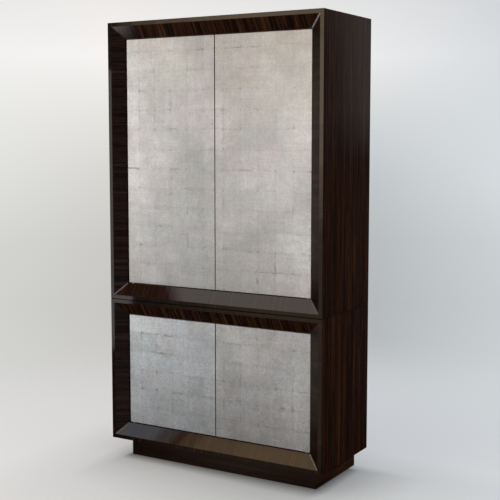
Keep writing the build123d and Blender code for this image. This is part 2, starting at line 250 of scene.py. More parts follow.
def tone_by(tree, colour, factor):
    """The colour multiplied by a number or by another colour."""
    return mix_colours(tree, 1.0, colour, factor, "MULTIPLY")


def colour_ramp(tree, factor, stops):
    """A ramp from a list of (position, colour) stops."""
    node = add_node(tree, "ShaderNodeValToRGB", {0: factor})
    elements = node.color_ramp.elements
    while len(elements) < len(stops):
        elements.new(1.0)
    for element, (position, colour) in zip(elements, stops):
        element.position = position
        element.color = colour
    return node.outputs[0]


print("colour helpers ready")

# %% [markdown]
# ## Starting a material
# Numbers that hold for the whole surface are set on the shader itself, because an exported model keeps them
# only there. An effect that several materials use is a node group. Every group here puts out a colour, a
# roughness and a height, so one helper can join any of them to a shader.

# %% Helpers for materials and groups
finish_outputs = {"Color": "NodeSocketColor", "Roughness": "NodeSocketFloat", "Height": "NodeSocketFloat"}


def start_material(name, constants):
    """A material and its Principled shader, with whole-surface values set on the shader's own sockets."""
    material = bpy.data.materials.new(name)
    material.use_nodes = True
    tree = material.node_tree
    return material, tree, plug(tree, tree.nodes["Principled BSDF"], constants)


def start_group(name, inputs):
    """A node group with these inputs and a finish's outputs. Returns the group, its inputs and its output."""
    group = bpy.data.node_groups.new(name, "ShaderNodeTree")
    for label, kind, default in inputs:
        socket = group.interface.new_socket(label, in_out="INPUT", socket_type=kind)
        if default is not None:
            socket.default_value = default
    for label, kind in finish_outputs.items():
        group.interface.new_socket(label, in_out="OUTPUT", socket_type=kind)
    return group, group.nodes.new("NodeGroupInput").outputs, group.nodes.new("NodeGroupOutput")


def use_group(tree, group, values):
    """Places a node group in a tree with its own values."""
    return add_node(tree, "ShaderNodeGroup", values, node_tree=group)


def bump_normal(tree, height, strength, distance):
    """The normal of a surface that this height roughens."""
    values = {"Strength": strength, "Distance": distance, "Height": height}
    return add_node(tree, "ShaderNodeBump", values).outputs["Normal"]


def dress_shader(tree, shader, finish, bump_strength, bump_distance):
    """Joins a finish's colour, roughness and height to the shader."""
    normal = bump_normal(tree, finish.outputs["Height"], bump_strength, bump_distance)
    plug(tree, shader, {"Base Color": finish.outputs["Color"], "Roughness": finish.outputs["Roughness"],
                        "Normal": normal})


def object_place(tree):
    """The place on the piece, in metres, as three numbers that stay with it when it moves."""
    return add_node(tree, "ShaderNodeTexCoord").outputs["Object"]


def finish_node(name, material):
    """Gives a CAD node this material in all its slots."""
    node = nodes[name]
    if not node.data.materials:
        node.data.materials.append(material)
    for slot in node.material_slots:
        slot.material = material


print("material helpers ready")

# %% [markdown]
# ## Striped ebony
# This ebony is nearly black, with narrow brown and reddish stripes that follow the grain. Stripes are noise
# that is squeezed across the grain and pulled long along it. A slower noise bends them a little, finer ones
# draw the red lines and the hair lines between them, and another adds the short open pores. Evenness fades
# the stripes into one brown. The group takes a place whose third axis lies along the grain, so one recipe
# serves boards laid in any direction.

# %% The ebony figure group
ebony_figure, group_in, group_out = start_group("ebony_figure", [
    ("Grain place", "NodeSocketVector", None),
    ("Evenness", "NodeSocketFloat", 0.3),
    ("Log tone", "NodeSocketColor", grey(1.0)),
])
grain_pull = (1.0, 1.0, 0.02)
pore_pull = (1.0, 1.0, 0.09)
bend_scale = 1.8
bend_width = (0.012, 0.012, 0.0)
stripe_scale = 60.0
red_line_scale = 125.0
hair_line_scale = 330.0
pore_scale = 900.0
red_line_band = (0.57, 0.68, 0.0, 0.8)
pore_band = (0.30, 0.42, 0.55, 1.0)
stripe_gloss = (0.3, 0.8, 0.42, 0.30)
red_brown = (0.0480, 0.0190, 0.0088, 1)
even_brown = (0.0165, 0.0064, 0.0030, 1)

grain_socket = group_in["Grain place"]
bend_values = {"Vector": grain_socket, "Scale": bend_scale, "Detail": 2.0}
bend = add_node(ebony_figure, "ShaderNodeTexNoise", bend_values)
bend_shift = vector_step(ebony_figure, "MULTIPLY", bend.outputs["Color"], bend_width)
long_place = vector_step(ebony_figure, "MULTIPLY", grain_socket, grain_pull)
bent_place = vector_step(ebony_figure, "ADD", long_place, bend_shift)
pore_place = vector_step(ebony_figure, "MULTIPLY", grain_socket, pore_pull)
broad_stripes = noise(ebony_figure, bent_place, stripe_scale, 4.0, 0.60)
red_noise = noise(ebony_figure, bent_place, red_line_scale, 2.0)
red_lines = range_map(ebony_figure, red_noise, *red_line_band)
hair_lines = swing(ebony_figure, noise(ebony_figure, bent_place, hair_line_scale, 3.0, 0.6), 0.70, 1.30)
pores = range_map(ebony_figure, noise(ebony_figure, pore_place, pore_scale, 1.0), *pore_band)

figured = colour_ramp(ebony_figure, broad_stripes, [
    (0.34, (0.0042, 0.0017, 0.0009, 1)),
    (0.47, (0.0080, 0.0030, 0.0014, 1)),
    (0.52, (0.0290, 0.0112, 0.0050, 1)),
    (0.56, (0.0120, 0.0044, 0.0020, 1)),
    (0.61, (0.0400, 0.0172, 0.0080, 1)),
    (0.70, (0.0660, 0.0320, 0.0155, 1)),
])
figured = mix_colours(ebony_figure, red_lines, figured, red_brown)
figured = mix_colours(ebony_figure, group_in["Evenness"], figured, even_brown)
for factor in (hair_lines, pores, group_in["Log tone"]):
    figured = tone_by(ebony_figure, figured, factor)
plug(ebony_figure, group_out, {
    "Color": figured,
    "Roughness": range_map(ebony_figure, broad_stripes, *stripe_gloss),
    "Height": pores,
})
print("ebony group nodes:", len(ebony_figure.nodes))

# %% [markdown]
# ## How the veneer is laid
# The maker lays the veneer of the frames across each member, so the stripes run from the rim to the door.
# The sides stand upright, the plinth and the tops lie along their length, and the front edge of every board
# continues the stripes of the frame beside it. Boards from different logs differ in tone, and some are more
# even than others. The lighter tone of the rails and the panels is partly painted light, for the top rails
# whose bevels face down. One table holds all of that, and a board finds its row by the end of its name.

# %% Grain and tone of each kind of board
# rails and panels: a lighter log, partly painted light for the top rails, whose bevels face down
rail_log_and_light = (1.18, 0.98, 0.76, 1)
stile_log = (0.84, 0.86, 0.92, 1)
side_log = (1.76, 1.30, 0.70, 1)
plinth_end_log = (3.2, 2.5, 1.6, 1)
plinth_log = (0.60, 0.58, 0.56, 1)
edge_log = (0.42, 0.50, 0.48, 1)
# end of the name: (grain of faces, grain of front edge, tone of faces, tone of front edge, evenness)
board_rows = {
    "_bottom_rail": ("z", "z", rail_log_and_light, rail_log_and_light, 0.70),
    "_top_rail": ("z", "z", rail_log_and_light, rail_log_and_light, 0.15),
    "_stile": ("x", "x", stile_log, stile_log, 0.42),
    "_side": ("z", "x", side_log, edge_log, 0.28),
    "_panel": ("x", "z", rail_log_and_light, edge_log, 0.28),
    "plinth_left": ("y", "y", plinth_end_log, plinth_end_log, 0.28),
    "plinth_right": ("y", "y", plinth_end_log, plinth_end_log, 0.28),
    "plinth_front": ("x", "x", plinth_log, plinth_log, 0.28),
    "plinth_back": ("x", "x", plinth_log, plinth_log, 0.28),
}
slope_share = 0.04
quarter_turn = math.radians(90)
turns_to_grain = {"x": (0, -quarter_turn, 0), "y": (quarter_turn, 0, 0), "z": (0, 0, 0)}


def board_row(board):
    """The row of the table whose key ends this board's name."""
    return next(row for ending, row in board_rows.items() if board.endswith(ending))


def grain_place(tree, place_socket, axis, offset, depth_share=1.0):
    """The place turned so that its third axis lies along the grain, and moved to another part of the log.

    A small depth_share lets the stripes run down a slope, because the place in depth then hardly counts.
    """
    values = {"Vector": place_socket, "Location": offset, "Rotation": turns_to_grain[axis],
              "Scale": (1.0, depth_share, 1.0)}
    return add_node(tree, "ShaderNodeMapping", values, vector_type="POINT").outputs[0]


print("kinds of board:", len(board_rows))

# %% [markdown]
# ## Gloss lacquer over the veneer
# The lacquer is a clear coat on the shader, smooth enough to mirror the softboxes. It isn't the same all
# over. The stiles carry a thinner coat, which fades towards the ends of the right ones. The narrow joint
# between the cabinets is left bare, and its colour is darkened as painted shade in the groove. The top face
# is only satin. Masks on the place in height pick these out.

# %% Where the lacquer thins
lacquer = {"Coat Weight": 1.0, "Coat Roughness": 0.045, "Coat IOR": 1.5, "Specular IOR Level": 0.05}
stile_coat = 0.74
foot_fade = (0.13, 0.27)
head_fade = {"upper": (0.36, 0.14), "lower": (0.16, 0.05)}
head_share = 0.25
joint_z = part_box("lower_top_panel")[1].z
# the band of painted shade along the joint, and its share of colour and coat
joint_half = 0.0021
joint_rim = 0.0023
joint_shade_and_coat_share = 0.1
face_skin = 0.0015
satin_coat = 0.08
satin_roughness = 0.25


def stile_polish(tree, height, board):
    """The coat along a right stile: none at its foot, full in its middle and thin at its head."""
    low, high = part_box(board)
    bare_end, full_start = foot_fade
    full_end, thin_start = head_fade[board.split("_")[0]]
    at_foot = range_map(tree, height, low.z + bare_end, low.z + full_start, 0.0, stile_coat)
    at_head = range_map(tree, height, high.z - full_end, high.z - thin_start, 1.0, head_share)
    return math_node(tree, "MULTIPLY", at_foot, at_head)


def meets_joint(board):
    """Whether a board reaches the joint between the two cabinets."""
    low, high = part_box(board)
    return low.z - joint_rim <= joint_z <= high.z + joint_rim


def satin_top(tree, shader, height):
    """Leaves the top face, which lies above the eyes, satin instead of gloss."""
    on_top = math_node(tree, "GREATER_THAN", height, cad_high.z - face_skin)
    gloss = shader.inputs["Roughness"].links[0].from_socket
    duller = math_node(tree, "MULTIPLY", on_top, satin_roughness)
    plug(tree, shader, {"Coat Weight": darken(tree, on_top, satin_coat),
                        "Roughness": math_node(tree, "ADD", gloss, duller)})


print("joint between the cabinets:", round(joint_z, 4))

# %% [markdown]
# ## Ebony on every board
# Each board gets its own material, cut from another part of the log so that no two boards repeat. A mask on
# the place in depth picks the front edge, which has its own grain and tone. The pores are a very shallow
# bump under the coat.

# %% Ebony for each board
front_y = cad_low.y
pore_bump = (0.15, 0.0002)
ebony_step = np.array((0.37, 0.53, 0.71))


def ebony_lacquer(board, offset):
    """Striped ebony under gloss lacquer: one grain and tone on the faces and another on the front edge."""
    face_grain, edge_grain, face_tone, edge_tone, evenness = board_row(board)
    coat = {**lacquer, "Coat Weight": stile_coat} if board.endswith("_stile") else lacquer
    material, tree, shader = start_material("ebony_" + board, coat)
    here = object_place(tree)
    _, depth, height = parts_of(tree, here)
    on_front = math_node(tree, "LESS_THAN", depth, front_y + face_skin)
    depth_share = slope_share if "_frame_" in board else 1.0
    faces = grain_place(tree, here, face_grain, offset, depth_share)
    edges = grain_place(tree, here, edge_grain, offset, depth_share)
    along = add_node(tree, "ShaderNodeMix", {0: on_front, 4: faces, 5: edges}, data_type="VECTOR").outputs[1]
    log_tone = mix_colours(tree, on_front, face_tone, edge_tone)
    # Along the joint the colour is darkened as painted shade in the groove, and the coat is taken off.
    if meets_joint(board):
        from_joint = away_from(tree, height, joint_z)
        painted_joint_shade_and_coat = range_map(tree, from_joint, joint_half, joint_rim, joint_shade_and_coat_share, 1.0)
        log_tone = tone_by(tree, log_tone, painted_joint_shade_and_coat)
        plug(tree, shader, {"Coat Weight": painted_joint_shade_and_coat})
    figure = use_group(tree, ebony_figure, {"Grain place": along, "Evenness": evenness, "Log tone": log_tone})
    dress_shader(tree, shader, figure, *pore_bump)
    if board.endswith("right_stile"):
        plug(tree, shader, {"Coat Weight": stile_polish(tree, height, board)})
    if board == "upper_top_panel":
        satin_top(tree, shader, height)
    return material


ebony_boards = sorted(part["node"] for part in subparts if part["material_slot"] == "ebony_lacquer")
for number, board in enumerate(ebony_boards):
    finish_node(board, ebony_lacquer(board, number * ebony_step))
print("ebony boards:", len(ebony_boards))

# %% [markdown]
# ## Satin wood inside
# The backs, decks and shelves are a quiet brown veneer, and the bearers, stop rails and corner blocks are
# stained solid wood. Both use one wood group: long soft growth lines, fine pores and a slow drift from
# light to dark.

# %% The plain wood group
plain_wood, group_in, group_out = start_group("plain_wood", [
    ("Grain place", "NodeSocketVector", None),
    ("Early wood", "NodeSocketColor", grey(0.1)),
    ("Late wood", "NodeSocketColor", grey(0.05)),
    ("Line scale", "NodeSocketFloat", 60.0),
])
growth_pull = (1.0, 1.0, 0.05)
fine_scale = 520.0
drift_scale = 2.5

growth_place = vector_step(plain_wood, "MULTIPLY", group_in["Grain place"], growth_pull)
growth = noise(plain_wood, growth_place, group_in["Line scale"], 5.0, 0.6)
fine = noise(plain_wood, growth_place, fine_scale, 2.0, 0.55)
drift = noise(plain_wood, group_in["Grain place"], drift_scale, 2.0)
lines = above(plain_wood, growth, 0.35, 0.66)
wood_colour = mix_colours(plain_wood, lines, group_in["Late wood"], group_in["Early wood"])
wood_shade = math_node(plain_wood, "MULTIPLY", swing(plain_wood, fine, 0.82, 1.15),
                       swing(plain_wood, drift, 0.88, 1.12))
plug(plain_wood, group_out, {
    "Color": tone_by(plain_wood, wood_colour, wood_shade),
    "Roughness": swing(plain_wood, fine, 0.50, 0.38),
    "Height": fine,
})
print("wood group nodes:", len(plain_wood.nodes))

# %% [markdown]
# ## Two finishes from one group
# The veneer and the solid wood differ only in their two browns and in how close the growth lines stand. The
# grain of the backs and the corner blocks is upright and the rest lies flat, so it follows the board's name.

# %% Satin wood for the inner boards
growth_bump = (0.25, 0.0003)
wood_step = np.array((0.41, 0.29, 0.83))
veneer_tones = ((0.118, 0.066, 0.038, 1), (0.062, 0.033, 0.019, 1))
batten_tones = ((0.100, 0.056, 0.034, 1), (0.060, 0.034, 0.021, 1))
inner_slots = {"interior_veneer": (*veneer_tones, 48.0), "batten_wood": (*batten_tones, 90.0)}
upright_endings = ("_back_panel", "_blocks")


def satin_wood(name, grain, early, late, line_scale, offset):
    """Satin-finished wood with its growth lines along one axis."""
    material, tree, shader = start_material(name, {"Specular IOR Level": 0.4})
    along = grain_place(tree, object_place(tree), grain, offset)
    wood = use_group(tree, plain_wood, {"Grain place": along, "Early wood": early, "Late wood": late,
                                        "Line scale": line_scale})
    dress_shader(tree, shader, wood, *growth_bump)
    return material


inner_boards = [part for part in subparts if part["material_slot"] in inner_slots]
for number, part in enumerate(inner_boards):
    board = part["node"]
    grain = "z" if board.endswith(upright_endings) else "x"
    finish = satin_wood("wood_" + board, grain, *inner_slots[part["material_slot"]], number * wood_step)
    finish_node(board, finish)
print("inner boards:", len(inner_boards))

# %% [markdown]
# ## Metal and plastic fittings
# Hinge leaves and pins are satin brass, screws and bolts are zinc plated, and the strikes are bright
# nickel. All are brushed, so one group gives fine scratches and faint handling marks. The latches are
# moulded plastic with a fine spark-eroded skin.

# %% The brushed metal group
brushed, group_in, group_out = start_group("brushed_marks", [
    ("Place", "NodeSocketVector", None),
    ("Clean", "NodeSocketColor", grey(0.6)),
    ("Dull", "NodeSocketColor", grey(0.4)),
    ("Smooth", "NodeSocketFloat", 0.22),
    ("Rough", "NodeSocketFloat", 0.42),
])
scratch_pull = (0.06, 1.0, 1.0)
scratch_scale = 2600.0
handling_scale = 120.0

scratch_place = vector_step(brushed, "MULTIPLY", group_in["Place"], scratch_pull)
scratches = noise(brushed, scratch_place, scratch_scale, 2.0)
dulled = above(brushed, noise(brushed, group_in["Place"], handling_scale, 4.0, 0.6), 0.42, 0.68)
plug(brushed, group_out, {
    "Color": mix_colours(brushed, dulled, group_in["Clean"], group_in["Dull"]),
    "Roughness": blend_values(brushed, scratches, group_in["Smooth"], group_in["Rough"]),
    "Height": scratches,
})
print("brushed group nodes:", len(brushed.nodes))

# %% [markdown]
# ## Three metals and two plastics
# The metals share the brushed group and differ in colour and polish. The plastics are simpler: a colour that
# is lighter where it is rubbed, and a fine bump for the skin of the mould.

# %% Finishes of the fittings
scratch_bump = (0.2, 0.0001)
skin_bump = (0.3, 0.0001)
skin_scale = 2400.0
rubbed_scale = 90.0


def brushed_metal(name, clean, dull, smooth, rough):
    """Metal whose brushing and dull patches vary over its surface."""
    material, tree, shader = start_material(name, {"Metallic": 1.0})
    marks = use_group(tree, brushed, {"Place": object_place(tree), "Clean": clean, "Dull": dull,
                                      "Smooth": smooth, "Rough": rough})
    dress_shader(tree, shader, marks, *scratch_bump)
    return material


def moulded_plastic(name, light, dark, roughness):
    """Plastic with a fine moulded skin, a little lighter where it has been rubbed."""
    material, tree, shader = start_material(name, {"Roughness": roughness, "Specular IOR Level": 0.45})
    here = object_place(tree)
    rubbed = above(tree, noise(tree, here, rubbed_scale), 0.4, 0.7)
    skin = noise(tree, here, skin_scale, 2.0)
    plug(tree, shader, {"Base Color": mix_colours(tree, rubbed, dark, light),
                        "Normal": bump_normal(tree, skin, *skin_bump)})
    return material


fitting_finishes = {
    "brass_fittings": brushed_metal("satin_brass", (0.66, 0.48, 0.22, 1), (0.50, 0.35, 0.15, 1), 0.24, 0.42),
    "zinc_steel": brushed_metal("zinc_plate", (0.56, 0.57, 0.58, 1), (0.42, 0.43, 0.44, 1), 0.26, 0.46),
    "bright_steel": brushed_metal("bright_nickel", (0.68, 0.66, 0.63, 1), (0.55, 0.53, 0.50, 1), 0.16, 0.32),
    "latch_plastic": moulded_plastic("latch_plastic", (0.06, 0.06, 0.062, 1), (0.04, 0.04, 0.042, 1), 0.46),
    "nylon_washer": moulded_plastic("washer_nylon", (0.78, 0.77, 0.73, 1), (0.70, 0.69, 0.65, 1), 0.40),
}
for part in subparts:
    if part["material_slot"] in fitting_finishes:
        finish_node(part["node"], fitting_finishes[part["material_slot"]])
print("fitting finishes:", len(fitting_finishes))

# %% [markdown]
# ## The door board under the leaf
# A gilder lays leaf on a coloured clay ground called bole. It shows as thin dark lines wherever two leaves
# fail to meet. The board's front carries that clay, and its edges and back are veneered to match the frame.
# The place in depth tells the front from the rest.

# %% Clay ground and veneered back
door_face_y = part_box("upper_left_door")[0].y
clay_depth = 0.0004
clay_scale = 60.0
dark_clay = (0.115, 0.098, 0.086, 1)
pale_clay = (0.20, 0.178, 0.16, 1)
back_roughness = 0.30
clay_roughness = 0.62


def door_board(name, offset):
    """Dark clay on the front of a door and striped ebony on its edges and back."""
    material, tree, shader = start_material(name, {"Specular IOR Level": 0.3})
    here = object_place(tree)
    _, depth, _ = parts_of(tree, here)
    on_front = math_node(tree, "LESS_THAN", depth, door_face_y + clay_depth)
    figure = use_group(tree, ebony_figure, {"Grain place": grain_place(tree, here, "z", offset)})
    clay = colour_ramp(tree, noise(tree, here, clay_scale, 4.0, 0.6), [(0.35, dark_clay), (0.68, pale_clay)])
    plug(tree, shader, {
        "Base Color": mix_colours(tree, on_front, figure.outputs["Color"], clay),
        "Roughness": range_map(tree, on_front, 0.0, 1.0, back_roughness, clay_roughness),
    })
    return material


door_names = [f"{cabinet}_{hand}_door" for cabinet in cabinets for hand in hands]
for number, name in enumerate(door_names):
    log_offset = (0.9 * number, 0.4, 1.3 * number)
    finish_node(name, door_board("board_" + name, log_offset))
print("doors:", door_names)

# %% [markdown]
# ## Silver leaf, one square at a time
# Silver leaf comes in small squares. The gilder starts at the top and lets each square lap the last by a
# few millimetres, and no two are placed alike. So each square is its own sheet: a small grid whose corners
# are nudged, whose edges wander, and whose surface ripples by hundredths of a millimetre. Four levels take
# turns, so that a sheet always lies over or under its neighbours. Where a sheet falls short, the clay shows
# as a dark line.

# %% Shape the sheets
leaf_pitch = 0.095
leaf_points = 20
usual_lap = 0.0022
lap_spread = 0.0014
edge_wander = 0.0007
edge_waves = ((1.3, 0.5), (3.1, 0.3), (7.4, 0.2))
edge_margin = 0.0011
first_level = 0.00010
level_step = 0.00005
ripple = 0.000012
ripple_waves = (2.0, 6.0)
full_turn = 2 * math.pi


def wandering_edge(random, sheets, along):
    """Sideways wander along an edge: a sum of three sine waves of random phase and falling height."""
    total = np.zeros((sheets, along.size))
    for waves, share in edge_waves:
        phase = random.uniform(0, full_turn, (sheets, 1))
        total += share * np.sin(full_turn * waves * along[None] + phase)
    return edge_wander * total


def leaf_sheets(low, high, column_width, row_height, random):
    """Points (sheets, rows, columns, 3) of one door, places on the sheets, and which are cut at a side.

    The first column and the top row are cut to the given sizes, and the rest follow at the pitch. A sheet's
    left, right, lower and upper edges are its cell's edges moved out by the lap and its own wander, and held
    inside the door. A point is the straight blend between opposite edges. Its depth is the sheet's level plus
    a ripple. A place on a sheet goes from 0 to 1 across its cell and from 0 to 1 up it.
    """
    columns = 1 + math.ceil((high.x - low.x - column_width) / leaf_pitch)
    rows = 1 + math.ceil((high.z - low.z - row_height) / leaf_pitch)
    row, column = (a.ravel() for a in np.meshgrid(np.arange(rows), np.arange(columns), indexing="ij"))
    sheets = row.size
    along = np.linspace(0, 1, leaf_points)
    cell_left = low.x + column_width + (column[:, None] - 1) * leaf_pitch
    cell_lower = high.z - row_height - row[:, None] * leaf_pitch
    laps = random.normal(usual_lap, lap_spread, (4, sheets, 1))
    left = cell_left - laps[0] + wandering_edge(random, sheets, along)
    right = cell_left + leaf_pitch + laps[1] + wandering_edge(random, sheets, along)
    upper = cell_lower + leaf_pitch + laps[2] + wandering_edge(random, sheets, along)
    lower = cell_lower - laps[3] + wandering_edge(random, sheets, along)
    left, right = (np.clip(e, low.x + edge_margin, high.x - edge_margin) for e in (left, right))
    lower, upper = (np.clip(e, low.z + edge_margin, high.z - edge_margin) for e in (lower, upper))
    u, v = np.meshgrid(along, along)
    x = left[:, :, None] * (1 - u) + right[:, :, None] * u
    z = lower[:, None, :] * (1 - v) + upper[:, None, :] * v
    level = first_level + level_step * ((column % 2) + 2 * (row % 2))
    phases = random.uniform(0, full_turn, (2, sheets, 1, 1))
    waves = random.uniform(*ripple_waves, (2, sheets, 1, 1))
    ripples = ripple * np.sin(waves[0] * 2 * u + phases[0]) * np.sin(waves[1] * 2 * v + phases[1])
    y = door_face_y - level[:, None, None] - ripples
    points = np.stack([x, y, z], axis=-1)
    spots = np.stack([x - cell_left[:, :, None], z - cell_lower[:, :, None]], axis=-1) / leaf_pitch
    return points, spots, (column == 0) | (column == columns - 1)


print("points in a sheet:", leaf_points ** 2)

# %% [markdown]
# ## A tone for each sheet
# Leaf is sold in books, and each door here was gilded from its own. The books differ a little in brightness
# and warmth, and so do the sheets in a book. Each sheet therefore carries three numbers of its own: how
# bright, how warm, and how strong its dirt marks and its painted lap shadows are. They are stored on its
# points, where the material can read them.

# %% Lay the sheets
first_column = {"left": 0.073, "right": 0.045}
first_row = {"upper": 0.065, "lower": 0.087}
book_tone = {"upper_left": 0.0, "upper_right": 0.0, "lower_left": 1.5, "lower_right": -1.8}
book_warmth = {"upper_left": 0.1, "upper_right": 1.0, "lower_left": -2.4, "lower_right": 0.2}
tone_spread = 0.5
warmth_spread = 0.4
cut_sheet_lift = 2.0
first_seed = 31


def sheet_tones(brightness, warmth, cut, random):
    """Brightness, warmth and the strength of dirt and painted lap shadow of each sheet: normal draws around
    the book's own, the first one cubed.
    """
    tone = random.normal(0.0, 1.0, (cut.size, 3))
    tone[:, 0] = brightness + tone_spread * tone[:, 0] ** 3
    tone[:, 1] = warmth + warmth_spread * tone[:, 1]
    tone[:, 0] += np.where(cut, cut_sheet_lift, 0.0)
    return tone


def leaf_mesh(name, points, spots, tone):
    """One mesh of many sheets, with each sheet's own UV square and its tone as a point attribute."""
    mesh = mesh_of_grids(name, points, smooth=False)
    corners = np.empty(len(mesh.loops), dtype=np.int32)
    mesh.loops.foreach_get("vertex_index", corners)
    uv = mesh.uv_layers.new(name="sheet")
    uv.data.foreach_set("uv", spots.reshape(-1, 2)[corners].astype(np.float32).ravel())
    tones = mesh.attributes.new("tone", "FLOAT_VECTOR", "POINT")
    repeated = np.repeat(tone, leaf_points * leaf_points, axis=0)
    tones.data.foreach_set("vector", repeated.astype(np.float32).ravel())
    return mesh


leaf_meshes = {}
for number, name in enumerate(door_names):
    low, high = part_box(name)
    cabinet, hand, _ = name.split("_")
    book = f"{cabinet}_{hand}"
    random = np.random.default_rng(first_seed + number)
    points, spots, cut = leaf_sheets(low, high, first_column[hand], first_row[cabinet], random)
    tone = sheet_tones(book_tone[book], book_warmth[book], cut, random)
    leaf_meshes[name] = leaf_mesh(name.replace("door", "silver_leaf"), points, spots, tone)
    print(name, "sheets:", len(tone))

# %% [markdown]
# ## Marks where the sheets meet
# Dirt and old glue gather at the edges of the squares. They show as broken strokes along the edges, blobs
# in the corners and a soft outline here and there. A hair line where one sheet laps the next is a painted
# shadow of the lap's edge. Each mark is a band around the sheet's edge, taken from the sheet's own UV
# square, and noise breaks it up. A sheet with a higher number for dirt and shade has more of them.

# %% Masks of the marks
edge_place = 0.97
edge_drift = 0.08
lap_place = 1.02
lap_width = (0.004, 0.012)
outline_width = (0.015, 0.11)
stroke_width = (0.03, 0.19)
stroke_scale = 30.0
edge_drift_scale = 26.0
blob_scale = 40.0
outline_scale = 17.0
lap_scale = 24.0
dash_pull = (0.4, 1.0, 1.0)
tick_pull = (1.0, 1.0, 0.4)
corner_help = (0.70, 0.92, 0.0, 0.10)
dash_band = (0.585, 0.70)
tick_band = (0.605, 0.72, 0.0, 0.8)
blob_corner = (0.76, 0.96)
blob_band = (0.50, 0.66)
outline_band = (0.46, 0.62)
lap_band = (0.46, 0.58)
second_draw = (3.0, 1.0, 2.0)


def stretched_noise(tree, place_socket, stretch, scale):
    """Noise drawn out along the axes whose stretch is small, as fibres or brush marks."""
    return noise(tree, vector_step(tree, "MULTIPLY", place_socket, stretch), scale, 3.0, 0.6)


def from_sheet_middle(tree):
    """(across, up): how far a place lies from the middle of its sheet, with 1 at the edge of its cell."""
    sheet_place = add_node(tree, "ShaderNodeUVMap", uv_map="sheet").outputs[0]
    doubled = vector_step(tree, "MULTIPLY", sheet_place, (2.0, 2.0, 0.0))
    centred = vector_step(tree, "SUBTRACT", doubled, (1.0, 1.0, 0.0))
    return parts_of(tree, vector_step(tree, "ABSOLUTE", centred))[:2]


def leaf_marks(tree, here, across, up, dirt_and_shade):
    """(dark marks, outlines, painted lap shadows): bands along a sheet's edges, each times noise and its dirt
    and shade.
    """
    elsewhere = add_node(tree, "ShaderNodeMapping", {"Vector": here, "Location": second_draw}).outputs[0]
    drift = swing(tree, noise(tree, here, edge_drift_scale, 2.0), -edge_drift, edge_drift)
    side_gap, end_gap = (away_from(tree, math_node(tree, "ADD", share, drift), edge_place)
                         for share in (across, up))
    corner = math_node(tree, "MULTIPLY", across, up)
    near_corner = range_map(tree, corner, *corner_help)
    level_noise = stretched_noise(tree, here, dash_pull, stroke_scale)
    upright_noise = stretched_noise(tree, elsewhere, tick_pull, stroke_scale)
    dashes = above(tree, math_node(tree, "ADD", level_noise, near_corner), *dash_band)
    ticks = range_map(tree, math_node(tree, "ADD", upright_noise, near_corner), *tick_band)
    end_marks = math_node(tree, "MULTIPLY", below(tree, end_gap, *stroke_width), dashes)
    side_marks = math_node(tree, "MULTIPLY", below(tree, side_gap, *stroke_width), ticks)
    blobs = math_node(tree, "MULTIPLY", above(tree, corner, *blob_corner),
                      above(tree, noise(tree, elsewhere, blob_scale, 2.0), *blob_band))
    strokes = math_node(tree, "MAXIMUM", end_marks, side_marks)
    dark_marks = math_node(tree, "MULTIPLY", math_node(tree, "MAXIMUM", strokes, blobs), dirt_and_shade)
    side_edge, end_edge = (below(tree, gap, *outline_width) for gap in (side_gap, end_gap))
    outline_gate = above(tree, noise(tree, elsewhere, outline_scale, 3.0, 0.6), *outline_band)
    outlines = multiply_all(tree, [math_node(tree, "MAXIMUM", side_edge, end_edge), outline_gate, dirt_and_shade])
    # The hair line along each lap is a painted shadow of the lap's edge.
    from_lap = away_from(tree, math_node(tree, "MAXIMUM", across, up), lap_place)
    lap_gate = above(tree, noise(tree, here, lap_scale, 4.0, 0.65), *lap_band)
    return dark_marks, outlines, multiply_all(tree, [below(tree, from_lap, *lap_width), lap_gate, dirt_and_shade])


print("marks of the leaf: strokes, blobs, outlines and lap lines")

# %% [markdown]
# ## Painted light and shade on the doors
# The leaf's colour carries painted light and shade. It is lighter on the lower doors, and darker near the
# foot of each door and near the head of the upper ones. On the upper doors it is darker along the meeting
# edges, and all the way up it is lighter towards the outer edges. It is darker around one spot on the left
# door and at the foot of the lower right door, and near the foot and the head of the upper doors it leans
# from left to right. These slow changes are factors of the place on the door, all close to 1.

# %% Painted light and shade of the doors
# each step of painted shade in height: (from, to, shade below, shade above)
painted_height_shade_steps = ((0.18, 0.34, 0.88, 1.0), (0.75, 0.90, 1.12, 0.86), (0.90, 1.10, 1.0, 1.0 / 0.86),
                (1.85, 2.12, 1.0, 0.90))
middle_shade_zone = (0.75, 0.95, 1.00, 0.88)
side_zone = (0.10, 0.48)
painted_side_light = 1.13
dark_spot_place = (-0.11, 0.0, 1.42)
dark_spot_spread = (1 / 0.14, 0.0, 1 / 0.30)
dark_spot_ring = (0.3, 1.2, 0.87, 1.0)
lean_half_width = 0.45
foot_lean_rise = (0.82, 0.84, 0.0, 0.12)
foot_lean_fall = (0.98, 1.15)
head_lean_rise = (1.75, 1.95, 0.0, -0.09)
low_right_width = (-0.30, 0.15)
low_right_height = (0.20, 0.36)
painted_low_right_shade = 0.86


